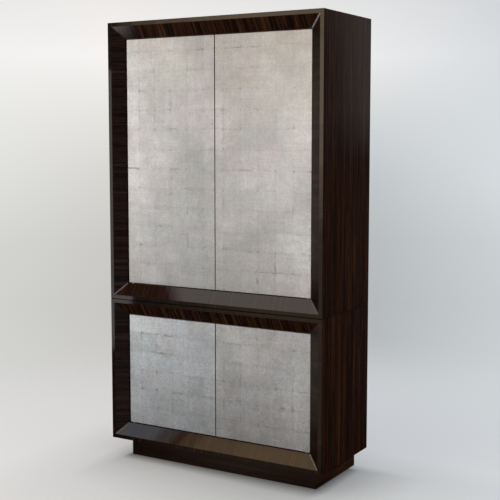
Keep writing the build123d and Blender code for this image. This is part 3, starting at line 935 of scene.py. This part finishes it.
def painted_door_light_and_shade(tree, here):
    """Painted light and shade: factors of height, of the middle and the sides, of a dark spot, of a lean from
    left to right and of the low right.
    """
    sideways, _, height = parts_of(tree, here)
    # Painted shade near the foot and the head, and painted light on the lower doors.
    shades = [range_map(tree, height, *step) for step in painted_height_shade_steps]
    # Painted shade along the meeting edges of the upper doors, and painted light towards the outer edges.
    to_sides = above(tree, math_node(tree, "ABSOLUTE", sideways), *side_zone)
    shades.append(blend_values(tree, to_sides, range_map(tree, height, *middle_shade_zone), painted_side_light))
    # Painted shade around one spot on the left door.
    from_dark_spot = vector_step(tree, "MULTIPLY", vector_step(tree, "SUBTRACT", here, dark_spot_place), dark_spot_spread)
    shades.append(range_map(tree, vector_measure(tree, "LENGTH", from_dark_spot), *dark_spot_ring))
    # Painted light and shade that lean from left to right near the foot and the head of the upper doors.
    lean = range_map(tree, sideways, -lean_half_width, lean_half_width, -1.0, 1.0)
    foot_lean = math_node(tree, "MULTIPLY", range_map(tree, height, *foot_lean_rise),
                          below(tree, height, *foot_lean_fall))
    both_leans = math_node(tree, "ADD", foot_lean, range_map(tree, height, *head_lean_rise))
    shades.append(math_node(tree, "ADD", 1.0, math_node(tree, "MULTIPLY", lean, both_leans)))
    # Painted shade at the foot of the lower right door.
    low_right = math_node(tree, "MULTIPLY", above(tree, sideways, *low_right_width),
                          below(tree, height, *low_right_height))
    shades.append(darken(tree, low_right, painted_low_right_shade))
    return shades


print("steps in height:", len(painted_height_shade_steps))

# %% [markdown]
# ## The look of old silver
# Silver leaf is a rough metal under a soft clear coat. Its tone drifts from square to square towards pink,
# green or blue, because each one tarnishes by itself. Fine creases cross it both ways, and soft clouds of
# wear darken it. All of that is colour, roughness and a faint bump. The colour also carries painted light
# and shade and painted lap shadows; the lamps do the rest.

# %% The silver leaf material
leaf_constants = {"Metallic": 0.72, "Specular IOR Level": 0.3, "Coat Weight": 1.0, "Coat Roughness": 0.38,
                  "Coat IOR": 1.5}
slow_cloud_scale = 4.0
cloud_scale = 17.0
mottle_scale = 110.0
crease_scale = 420.0
brush_scale = 150.0
fleck_scale = 75.0
warm_scale = 2.6
cast_scale = 7.0
cast_band = (0.35, 0.65)
crease_pull = (0.10, 1.0, 1.0)
brush_pulls = ((1.0, 1.0, 0.06), (0.06, 1.0, 1.0))
fleck_band = (0.71, 0.79)
soil_edge = (0.5, 1.0)
soil_band = (0.48, 0.62)
lap_shadow_dark = 0.58
outline_dark = 0.78
mark_dark = 0.48
soil_dark = 0.92
fleck_dark = 0.68
dirt_and_shade_range = (-0.8, 1.4, 0.18, 1.0)
tone_range = (-3.0, 3.0)
speckle_zone = (0.75, 0.90, 0.19, 0.15)
cool_silver = (0.522, 0.571, 0.606, 1)
warm_silver = (0.5865, 0.5636, 0.549, 1)
pink_cast = (1.012, 0.991, 1.008, 1)
green_cast = (0.988, 1.009, 0.990, 1)
warm_drift = 0.075
mark_roughness = 0.12
crease_height = 0.6
mottle_height = 0.4
leaf_bump = (0.35, 0.0006)


def leaf_tint(tree, here, sheet_warmth):
    """A colour between cool and warm silver, with a slow cast of pink or green."""
    drift = swing(tree, noise(tree, here, warm_scale, 2.0), -warm_drift, warm_drift)
    warm = math_node(tree, "ADD", drift, above(tree, sheet_warmth, *tone_range), clamp=True)
    green = above(tree, noise(tree, here, cast_scale, 2.0), *cast_band)
    return tone_by(tree, mix_colours(tree, warm, cool_silver, warm_silver),
                   mix_colours(tree, green, pink_cast, green_cast))


def silver_leaf():
    """Toned silver: the tint times clouds, brush marks, the sheet's own tone, painted light and shade,
    painted lap shadows and dark marks.
    """
    material, tree, shader = start_material("silver_leaf", leaf_constants)
    here = object_place(tree)
    sheet_tone = add_node(tree, "ShaderNodeAttribute", attribute_name="tone").outputs["Vector"]
    sheet_brightness, sheet_warmth, sheet_dirt_and_shade = parts_of(tree, sheet_tone)
    across, up = from_sheet_middle(tree)
    dirt_and_shade = range_map(tree, sheet_dirt_and_shade, *dirt_and_shade_range)
    dark_marks, outlines, lap_shadow_lines = leaf_marks(tree, here, across, up, dirt_and_shade)
    slow_clouds = noise(tree, here, slow_cloud_scale, 3.0, 0.55)
    clouds = noise(tree, here, cloud_scale, 5.0, 0.62)
    mottle = noise(tree, here, mottle_scale, 4.0, 0.70)
    creases = stretched_noise(tree, here, crease_pull, crease_scale)
    brush_marks = [stretched_noise(tree, here, pull, brush_scale) for pull in brush_pulls]
    soiled = math_node(tree, "MULTIPLY", above(tree, up, *soil_edge), above(tree, clouds, *soil_band))
    flecks = above(tree, noise(tree, here, fleck_scale, 2.0), *fleck_band)
    speckle = range_map(tree, parts_of(tree, here)[2], *speckle_zone)
    speckles = math_node(tree, "MULTIPLY", swing(tree, mottle, -1.0, 1.0), speckle)
    level = multiply_all(tree, [
        swing(tree, slow_clouds, 0.86, 1.14),
        swing(tree, clouds, 0.90, 1.10),
        math_node(tree, "ADD", 1.0, speckles),
        *(swing(tree, marks, 0.95, 1.05) for marks in (*brush_marks, creases)),
        range_map(tree, sheet_brightness, *tone_range, 0.92, 1.08),
        *painted_door_light_and_shade(tree, here),
        darken(tree, lap_shadow_lines, lap_shadow_dark),
        darken(tree, outlines, outline_dark),
        darken(tree, dark_marks, mark_dark),
        darken(tree, soiled, soil_dark),
        darken(tree, flecks, fleck_dark),
    ])
    rough = math_node(tree, "ADD", swing(tree, mottle, 0.42, 0.54),
                      math_node(tree, "MULTIPLY", dark_marks, mark_roughness))
    height = math_node(tree, "ADD", math_node(tree, "MULTIPLY", creases, crease_height),
                       math_node(tree, "MULTIPLY", mottle, mottle_height))
    plug(tree, shader, {"Base Color": tone_by(tree, leaf_tint(tree, here, sheet_warmth), level),
                        "Roughness": rough, "Normal": bump_normal(tree, height, *leaf_bump)})
    return material


leaf_finish = silver_leaf()
print("leaf material nodes:", len(leaf_finish.node_tree.nodes))

# %% [markdown]
# ## Putting the leaf on
# Real leaf is far thinner than paper. A Solidify step gives every sheet a little thickness, so it is a body
# and not only a surface. Each door's sheets are one piece that rides on that door, so they swing with it.

# %% Put the leaf on the doors
leaf_thickness = 0.00003
for name, mesh in leaf_meshes.items():
    sheets = place(mesh.name, mesh, leaf_finish)
    body = sheets.modifiers.new("foil", "SOLIDIFY")
    body.thickness = leaf_thickness
    body.offset = -1.0
    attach(sheets, name)
print("leaf pieces:", list(leaf_meshes))

# %% [markdown]
# ## Lacquer in the mitres
# Where two bevels meet, the lacquer pools in the valley and leaves a narrow rounded line that catches the
# light. A bump could only hint at it, so the pool is a real sliver of lacquer. A ball that rolls along the
# valley touches both bevels, so the pool's face is the ball's own surface, turned from one bevel's normal
# to the other's. The sliver is closed by a line just under the valley, and its ends are cut at the depth of
# the rim and of the inner edge.

# %% Shape a mitre pool
pool_radius = 0.010
pool_turns = 9
pool_steps = 6
pool_root = 0.0004
pool_short = 0.0015


def mitre_pool(rim_corner, inner_corner, first_normal, second_normal):
    """Points (steps, ring, 3) of one sliver: the ball's arc from normal to normal, and the root below.

    The ball's centre lies off the valley by its radius times the sum of the normals over one plus their dot
    product. Each line along the valley is cut where it reaches the depth of the rim and of the inner edge.
    """
    turn = np.linspace(0, 1, pool_turns)[:, None]
    normals = first_normal * (1 - turn) + second_normal * turn
    normals /= np.linalg.norm(normals, axis=1, keepdims=True)
    middle = first_normal + second_normal
    centre = pool_radius * middle / (1 + first_normal @ second_normal)
    root = -pool_root * middle / np.linalg.norm(middle)
    offsets = np.vstack([centre - pool_radius * normals, root])
    valley = inner_corner - rim_corner
    start = -offsets[:, 1] / valley[1]
    end = start + 1 - pool_short / valley[1]
    step = np.linspace(0, 1, pool_steps)[:, None]
    share = start * (1 - step) + end * step
    return rim_corner + share[:, :, None] * valley + offsets


def mesh_of_bars(name, bars):
    """One mesh of closed bars from points (bars, steps, ring, 3): walls between rings, a face at each end."""
    count, steps, ring, _ = bars.shape
    here = np.arange(ring)
    ahead = np.roll(here, -1)
    wall = np.stack([here, ahead, ahead + ring, here + ring], axis=-1)
    walls = (wall[None] + ring * np.arange(steps - 1)[:, None, None]).reshape(-1, 4)
    faces = []
    for first in ring * steps * np.arange(count):
        faces += (walls + first).tolist()
        faces += [(here[::-1] + first).tolist(), (here + first + ring * (steps - 1)).tolist()]
    mesh = bpy.data.meshes.new(name)
    mesh.from_pydata(bars.reshape(-1, 3).tolist(), [], faces)
    return mesh


print("points in a pool:", pool_steps * (pool_turns + 1))

# %% [markdown]
# ## Rubbed mitres and painted highlights
# Some of the eight mitres have been rubbed through to a paler core, and some are still black. The pale core
# is partly a painted highlight, brightest where a mitre line catches the light. Each pool carries a number
# for that on its points, and the material goes from black lacquer to the core by it.

# %% Fill the mitres
bevel_low, bevel_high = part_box("upper_frame_left_stile")
rim_x = -bevel_low.x
opening_x = -bevel_high.x
bevel_depth = 0.040
bevel_foot_y = front_y + bevel_depth
slope = np.array([rim_x - opening_x, bevel_foot_y - front_y])
face_in, face_out = np.array([slope[1], -slope[0]]) / np.linalg.norm(slope)
# cabinet, side and end of the mitre: how far it is rubbed, partly as a painted highlight
rubs_and_glints = {("upper", -1, -1): 0.42, ("upper", -1, 1): 0.03, ("upper", 1, -1): 0.40, ("upper", 1, 1): 1.0,
        ("lower", -1, -1): 0.36, ("lower", -1, 1): 0.03, ("lower", 1, -1): 0.62, ("lower", 1, 1): 0.05}
core_stops = [(0.35, (0.15, 0.125, 0.11, 1)), (0.65, (0.25, 0.21, 0.19, 1))]
core_scale = 60.0
black_lacquer = (0.008, 0.004, 0.003, 1)


def mitre_bar(cabinet, side, end):
    """The pool of one mitre, from the corner of the rim to the corner of the opening."""
    low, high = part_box(f"{cabinet}_frame_{'top' if end > 0 else 'bottom'}_rail")
    rim_z, opening_z = (high.z, low.z) if end > 0 else (low.z, high.z)
    rim_corner = np.array([side * rim_x, front_y, rim_z])
    inner_corner = np.array([side * opening_x, bevel_foot_y, opening_z])
    stile_normal = np.array([-side * face_in, face_out, 0.0])
    rail_normal = np.array([0.0, face_out, -end * face_in])
    return mitre_pool(rim_corner, inner_corner, stile_normal, rail_normal)


mitres = [(cabinet, side, end) for cabinet in cabinets for side in hands.values() for end in (-1, 1)]
# The pale core is partly a painted highlight along the mitre lines.
pool_finish, tree, shader = start_material("mitre_core_and_glint", lacquer)
core_and_glint = colour_ramp(tree, noise(tree, object_place(tree), core_scale), core_stops)
rub_and_glint = add_node(tree, "ShaderNodeAttribute", attribute_name="rub_and_glint").outputs["Fac"]
plug(tree, shader, {"Base Color": mix_colours(tree, rub_and_glint, black_lacquer, core_and_glint)})
pool_mesh = mesh_of_bars("mitre_lacquer", np.array([mitre_bar(*mitre) for mitre in mitres]))
rub_and_glint_values = np.repeat([rubs_and_glints[mitre] for mitre in mitres], pool_steps * (pool_turns + 1))
pool_mesh.attributes.new("rub_and_glint", "FLOAT", "POINT").data.foreach_set("value", rub_and_glint_values.astype(np.float32))
pools = place("mitre_lacquer", pool_mesh, pool_finish)
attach(pools, "carcass")
print("mitre pools:", len(mitres), "slope:", np.round(slope, 4))

# %% [markdown]
# ## The studio lamps
# Dark lacquer shows its surroundings more than itself. Photographers therefore hang softboxes where the
# reflections should fall. Here most of them fill parts of a plane in front of the object: tall pale panels
# low down, a warm edge beside them, and brown panels higher up that fade out to the left. Each softbox is
# an area lamp. A fade is a few narrow lamps side by side, because a lamp has one brightness all over.

# %% Helpers for lamps
wall_y = -5.0


def softbox(name, centre, facing, size, radiance, spin=0.0):
    """An area lamp. Its power is radiance times pi times its area, so it mirrors as that brightness."""
    lamp_data = bpy.data.lights.new(name, "AREA")
    lamp_data.shape = "RECTANGLE"
    lamp_data.size, lamp_data.size_y = size
    strength = max(radiance)
    lamp_data.color = [part / strength for part in radiance]
    lamp_data.energy = strength * math.pi * size[0] * size[1]
    lamp = bpy.data.objects.new(name, lamp_data)
    lamp.location = centre
    lamp.rotation_euler = Vector(facing).to_track_quat("-Z", "Y").to_euler()
    lamp.rotation_euler.z += spin
    lamp.visible_camera = False
    bpy.context.scene.collection.objects.link(lamp)


def panel(name, left, right, lower, upper, radiance, y=wall_y):
    """A softbox that faces the object's front, between these edges, in the plane at this depth."""
    centre = ((left + right) / 2, y, (lower + upper) / 2)
    softbox(name, centre, (0, 1, 0), (right - left, upper - lower), radiance)


def panel_stack(name, left, right, rows, y=wall_y):
    """Panels one above the other: each row has a lower edge, an upper edge and a colour."""
    for number, (lower, upper, colour) in enumerate(rows):
        panel(f"{name}_{number}", left, right, lower, upper, colour, y)


def panel_course(name, lower, upper, columns, colour):
    """Panels side by side: each column has a left edge, a right edge and its share of the colour."""
    for number, (left, right, share) in enumerate(columns):
        panel(f"{name}_{number}", left, right, lower, upper, share * colour)


print("plane of the panels: y =", wall_y)

# %% [markdown]
# ## Panels in front
# The doors are rough and only take a soft light from these panels, but the bevels and the rims mirror their
# edges. So the edges were moved until each reflection began and ended where it does in the photograph.

# %% Hang the panels
pale = np.array((1.68, 1.70, 1.66))
brown = np.array((1.95, 1.48, 0.96))
dark_brown = np.array((1.36, 1.00, 0.60))
left_rows = ((0.90, 1.75, 1.0 * pale), (1.75, 2.55, 1.35 * pale))
right_rows = ((0.10, 0.50, 1.15 * pale), (0.50, 2.55, 1.08 * pale))
edge_rows = ((0.74, 0.85, (0.27, 0.20, 0.14)), (0.85, 0.957, (0.65, 0.48, 0.34)),
             (0.957, 1.064, (0.92, 0.68, 0.48)), (1.064, 1.161, (1.15, 0.85, 0.60)),
             (1.161, 1.35, (1.35, 1.00, 0.70)), (1.35, 1.75, (1.93, 1.48, 1.12)),
             (1.75, 2.55, (2.30, 1.70, 1.25)))
top_columns = ((-4.24, -4.05, 0.24), (-4.05, -3.75, 0.48), (-3.75, -3.30, 0.68), (-3.30, -2.85, 0.86),
               (-2.85, -0.40, 1.0))
header_columns = ((-4.82, -4.57, 0.45), (-4.57, -3.95, 0.82), (-3.95, -0.40, 1.0))
screen_rows = ((0.02, 0.415, (0.53, 0.51, 0.50)), (0.415, 1.10, (1.12, 1.07, 1.05)),
               (1.10, 2.13, (1.22, 1.12, 1.00)))
screen_y = -2.27

panel_stack("middle_left", -4.05, -2.90, left_rows)
panel_stack("middle_right", -2.90, -1.95, right_rows)
panel_stack("edge", -1.95, -1.62, edge_rows)
panel("far_right", -1.62, -0.40, 0.10, 1.75, 1.10 * pale)
panel_course("top", 2.55, 3.60, top_columns, brown)
panel_course("header", 3.60, 5.70, header_columns, dark_brown)
panel_stack("screen", -2.80, -2.00, screen_rows, screen_y)
print("panels in front:", len(bpy.data.lights))

# %% [markdown]
# ## Lamps above and below
# A wide softbox overhead lights the doors and the floor, and its left edge fades in three narrow steps. A
# cool pair hangs high on the left, and a dim one lies on the floor at the left, turned to face the bevels
# of the lower rails.

# %% Overhead, high and low lamps
overhead_colour = np.array((1.25, 1.23, 1.18))
overhead_columns = ((-2.01, -1.97, 0.25), (-1.97, -1.93, 0.5), (-1.93, -1.89, 0.75), (-1.89, 0.60, 1.0))
overhead_y = -1.70
overhead_z = 3.0
overhead_depth = 1.4
for number, (left, right, share) in enumerate(overhead_columns):
    centre = ((left + right) / 2, overhead_y, overhead_z)
    softbox(f"overhead_{number}", centre, (0, 0, -1), (right - left, overhead_depth), share * overhead_colour)

softbox("cool_high", (-6.68, -5.6, 5.9), (0, 1, 0), (1.7, 1.5), (0.85, 1.05, 1.22))
softbox("cool_high_fade", (-5.68, -5.6, 5.9), (0, 1, 0), (0.3, 1.5), (0.40, 0.48, 0.52))

cool_low_place = np.array((-4.05, -2.14, 0.02))
cool_low_spin = math.radians(56)
cool_low_colour = (0.66, 0.64, 0.64)
cool_low_along = np.array((math.cos(cool_low_spin), math.sin(cool_low_spin), 0.0))
cool_low_beside = np.array((-math.sin(cool_low_spin), math.cos(cool_low_spin), 0.0))
cool_low_parts = ((-1.6, 1.40, -1.6, 1.6), (1.40, 1.60, -0.75, 1.6))
for number, (left, right, lower, upper) in enumerate(cool_low_parts):
    centre = cool_low_place + (left + right) / 2 * cool_low_along + (lower + upper) / 2 * cool_low_beside
    size = (right - left, upper - lower)
    softbox(f"cool_low_{number}", centre, (0, 0, 1), size, cool_low_colour, cool_low_spin)
print("lamps:", len(bpy.data.lights))

# %% [markdown]
# ## The floor
# The floor is a pale matt disc that turns clear away from the middle, so it has no horizon from any side.
# Its colour carries a painted shadow that darkens towards the plinth. That painted shadow reaches far in
# front and to the right, and ends soon on the left and behind. The right is a touch cooler.

# %% Lay the floor
plinth_low, plinth_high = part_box("plinth_front")
# Where the painted shadow around the plinth reaches, and how dark it is.
painted_shadow_depth = 0.347
plinth_near = (-plinth_high.x, plinth_low.y, 0.0)
plinth_far = (plinth_high.x, plinth_low.y + painted_shadow_depth, 0.0)
side_reach = 1.98
front_reach = (0.3, -0.55, 0.34, 0.58)
far_reach = (0.67, 3.1, 0.0)
painted_shadow_stops = ((0.0, 0.24), (0.046, 0.66), (0.123, 0.755), (0.269, 0.874), (0.615, 0.925), (1.0, 0.982))
backdrop_across = (math.cos(camera_turn), math.sin(camera_turn), 0.0)
cool_width = (-0.6, 0.8)
cool_floor = (1.03, 1.065, 1.09, 1)
floor_matt = (0.66, 0.635, 0.60, 1)
floor_pale = (0.295, 0.29, 0.28, 1)
fade_radius = (0.7, 3.6)
floor_radius = 6.0


def bare_material(name):
    """A material whose tree is still empty."""
    material = bpy.data.materials.new(name)
    material.use_nodes = True
    material.node_tree.nodes.clear()
    return material, material.node_tree


def painted_floor_shadow(tree, here):
    """A painted shadow: a grey by the distance outside the plinth, which counts more or less on each of its
    sides.
    """
    before = vector_step(tree, "MAXIMUM", vector_step(tree, "SUBTRACT", plinth_near, here))
    beyond = vector_step(tree, "MAXIMUM", vector_step(tree, "SUBTRACT", here, plinth_far))
    forward = range_map(tree, parts_of(tree, here)[0], *front_reach)
    near_reach = add_node(tree, "ShaderNodeCombineXYZ", {0: side_reach, 1: forward}).outputs[0]
    outside = vector_step(tree, "ADD", vector_step(tree, "MULTIPLY", before, near_reach),
                          vector_step(tree, "MULTIPLY", beyond, far_reach))
    away = vector_measure(tree, "LENGTH", outside)
    return colour_ramp(tree, away, [(position, grey(value)) for position, value in painted_shadow_stops])


def pale_floor():
    """A matt pale floor with a painted shadow towards the plinth, which turns clear away from the middle."""
    material, tree = bare_material("pale_floor")
    here = object_place(tree)
    across = above(tree, vector_measure(tree, "DOT_PRODUCT", here, backdrop_across), *cool_width)
    cast = colour_ramp(tree, across, [(0.0, grey(1.0)), (1.0, cool_floor)])
    # The painted shadow times the cooler cast on the right.
    shade = tone_by(tree, painted_floor_shadow(tree, here), cast)
    seen = add_node(tree, "ShaderNodeLightPath").outputs["Is Camera Ray"]
    matt = add_node(tree, "ShaderNodeBsdfDiffuse", {"Color": tone_by(tree, shade, floor_matt)})
    glow = add_node(tree, "ShaderNodeEmission", {"Color": tone_by(tree, shade, floor_pale), "Strength": seen})
    lit = add_node(tree, "ShaderNodeAddShader", {0: matt.outputs[0], 1: glow.outputs[0]})
    clear = add_node(tree, "ShaderNodeBsdfTransparent")
    radius = vector_measure(tree, "LENGTH", here)
    fade_values = {"Value": radius, "From Min": fade_radius[0], "From Max": fade_radius[1]}
    fade = add_node(tree, "ShaderNodeMapRange", fade_values, interpolation_type="SMOOTHSTEP").outputs[0]
    mixed = add_node(tree, "ShaderNodeMixShader", {0: fade, 1: lit.outputs[0], 2: clear.outputs[0]})
    add_node(tree, "ShaderNodeOutputMaterial", {"Surface": mixed.outputs[0]})
    return material


def disc_points(radius, rings, spokes):
    """A flat disc: radius along the rows, angle along the columns."""
    r, a = np.meshgrid(np.linspace(0.001, radius, rings), np.linspace(0, full_turn, spokes), indexing="ij")
    return np.stack([r * np.cos(a), r * np.sin(a), np.zeros_like(r)], axis=-1)[None]


floor = place("floor", mesh_of_grids("floor", disc_points(floor_radius, 24, 72)), pale_floor())
floor.visible_glossy = False
print("floor radius:", floor_radius)

# %% [markdown]
# ## The drape
# Lacquer also mirrors what lies between the softboxes. A dark drape hangs all around for that, and only
# reflections see it. It is nearly black, with a dim band above eye level behind the object and a bluish one
# ahead of it. Three paler patches stand where the lacquer should mirror something brighter.

# %% Hang the drape
drape_black = grey(0.003)
behind_stops = [(0.15, drape_black), (0.26, grey(0.10)), (0.55, grey(0.10)), (0.80, grey(0.02))]
ahead_stops = [(0.10, drape_black), (0.22, (0.070, 0.100, 0.130, 1)), (0.45, (0.034, 0.050, 0.068, 1)),
               (0.60, (0.016, 0.020, 0.026, 1))]
band_brightening = (4.5, 5.5, 1.0, 1.65)
band_end = (6.05, 6.63, 1.0, 0.14)
# each patch: its colour, then the axis, the range and the two shares of every fade that bounds it
drape_patches = (
    ((0.45, 0.31, 0.21, 1), ((0, -8.5, -6.5, 0.0, 1.0), (0, -3.5, 0.0, 1.0, 0.0), (1, -9.0, -5.0, 1.0, 0.0),
                             (2, -4.8, -3.6, 0.0, 1.0), (2, 0.0, 1.0, 1.0, 0.0))),
    ((1.22, 1.20, 1.18, 1), ((0, -9.63, -9.45, 1.0, 0.0), (1, -6.00, -5.83, 1.0, 0.25),
                             (2, -9.5, -9.0, 0.0, 1.0), (2, -7.8, -7.0, 1.0, 0.0))),
    ((0.46, 0.47, 0.48, 1), ((0, 1.0, 4.5, 1.0, 0.0), (1, 1.0, 5.0, 0.0, 1.0), (2, -6.0, -1.0, 0.2, 1.0))),
)
drape_radius = 14.0


def drape_material():
    """Dim bands by height, one behind and one ahead of the object, with each patch laid over them in turn."""
    material, tree = bare_material("drape")
    axes = parts_of(tree, object_place(tree))
    sideways, depth, height = axes
    behind = colour_ramp(tree, above(tree, height, 0.0, 8.0), behind_stops)
    breadth = math_node(tree, "MULTIPLY", range_map(tree, sideways, *band_brightening),
                        range_map(tree, sideways, *band_end))
    behind = tone_by(tree, behind, breadth)
    ahead = colour_ramp(tree, above(tree, height, -6.0, 6.0), ahead_stops)
    ahead = mix_colours(tree, above(tree, sideways, -2.0, 2.0), drape_black, ahead)
    shade = mix_colours(tree, above(tree, depth, -5.0, -3.0), ahead, behind)
    for colour, fades in drape_patches:
        patch = multiply_all(tree, [range_map(tree, axes[axis], *fade) for axis, *fade in fades])
        shade = mix_colours(tree, patch, shade, colour)
    glow = add_node(tree, "ShaderNodeEmission", {"Color": shade, "Strength": 1.0})
    add_node(tree, "ShaderNodeOutputMaterial", {"Surface": glow.outputs[0]})
    return material


def ball_points(radius, rings, spokes):
    """A sphere: height angle along the rows, turn along the columns."""
    heights = np.linspace(-math.pi / 2, math.pi / 2, rings)
    h, a = np.meshgrid(heights, np.linspace(0, full_turn, spokes), indexing="ij")
    return radius * np.stack([np.cos(h) * np.cos(a), np.cos(h) * np.sin(a), np.sin(h)], axis=-1)[None]


drape = place("drape", mesh_of_grids("drape", ball_points(drape_radius, 40, 72)), drape_material())
for kind in ("camera", "diffuse", "transmission", "volume_scatter", "shadow"):
    setattr(drape, "visible_" + kind, False)
print("patches on the drape:", len(drape_patches))

# %% [markdown]
# ## The backdrop
# The camera and the reflections see a pale backdrop behind everything, and the rest of the light from all
# around is a plain cool ambient. The backdrop is a gradient of direction. One ramp goes by how steeply a
# ray rises. It is multiplied by a ramp across, which differs between the foot of the backdrop and its head.

# %% Set the world
# Both ramps dip beside the object: that dip is a painted shadow on the backdrop.
rise_stops = [
    (0.0, (0.64, 0.64, 0.63, 1)), (0.11, (0.58, 0.585, 0.58, 1)), (0.24, (0.56, 0.565, 0.56, 1)),
    (0.38, (0.585, 0.59, 0.585, 1)), (0.66, (0.73, 0.735, 0.73, 1)), (0.80, (0.82, 0.825, 0.82, 1)),
    (0.92, (0.76, 0.76, 0.755, 1))]
foot_stops = [
    (0.02, (1.125, 1.115, 1.095, 1)), (0.22, (1.03, 1.01, 0.98, 1)), (0.50, (0.97, 0.97, 0.96, 1)),
    (0.74, (0.826, 0.857, 0.883, 1)), (0.98, (1.025, 1.085, 1.12, 1))]
head_stops = [
    (0.02, (1.085, 1.075, 1.062, 1)), (0.22, (1.126, 1.092, 1.08, 1)), (0.50, (1.06, 1.045, 1.045, 1)),
    (0.74, (0.995, 0.998, 1.018, 1)), (0.98, (0.845, 0.872, 0.91, 1))]
rise_span = (-0.26, 0.16)
across_span = (-0.25, 0.25)
head_start = (-0.0425, 0.072)
ambient_colour = (0.90, 0.97, 1.10, 1)
ambient_strength = 0.55

world = bpy.data.worlds.new("studio")
world.use_nodes = True
bpy.context.scene.world = world
sky = world.node_tree
sky.nodes.clear()
direction = add_node(sky, "ShaderNodeTexCoord").outputs["Generated"]
rise = parts_of(sky, direction)[2]
across = above(sky, vector_measure(sky, "DOT_PRODUCT", direction, backdrop_across), *across_span)
foot_and_head = mix_colours(sky, above(sky, rise, *head_start), colour_ramp(sky, across, foot_stops),
                            colour_ramp(sky, across, head_stops))
backdrop_colour = tone_by(sky, colour_ramp(sky, above(sky, rise, *rise_span), rise_stops), foot_and_head)
rays = add_node(sky, "ShaderNodeLightPath").outputs
mirrored = math_node(sky, "MAXIMUM", rays["Is Glossy Ray"], rays["Is Transmission Ray"])
seen = math_node(sky, "MAXIMUM", rays["Is Camera Ray"], mirrored)
backdrop = add_node(sky, "ShaderNodeBackground", {"Color": backdrop_colour, "Strength": 1.0})
ambient = add_node(sky, "ShaderNodeBackground", {"Color": ambient_colour, "Strength": ambient_strength})
both = add_node(sky, "ShaderNodeMixShader", {0: seen, 1: ambient.outputs[0], 2: backdrop.outputs[0]})
add_node(sky, "ShaderNodeOutputWorld", {"Surface": both.outputs[0]})
print("world nodes:", len(sky.nodes))
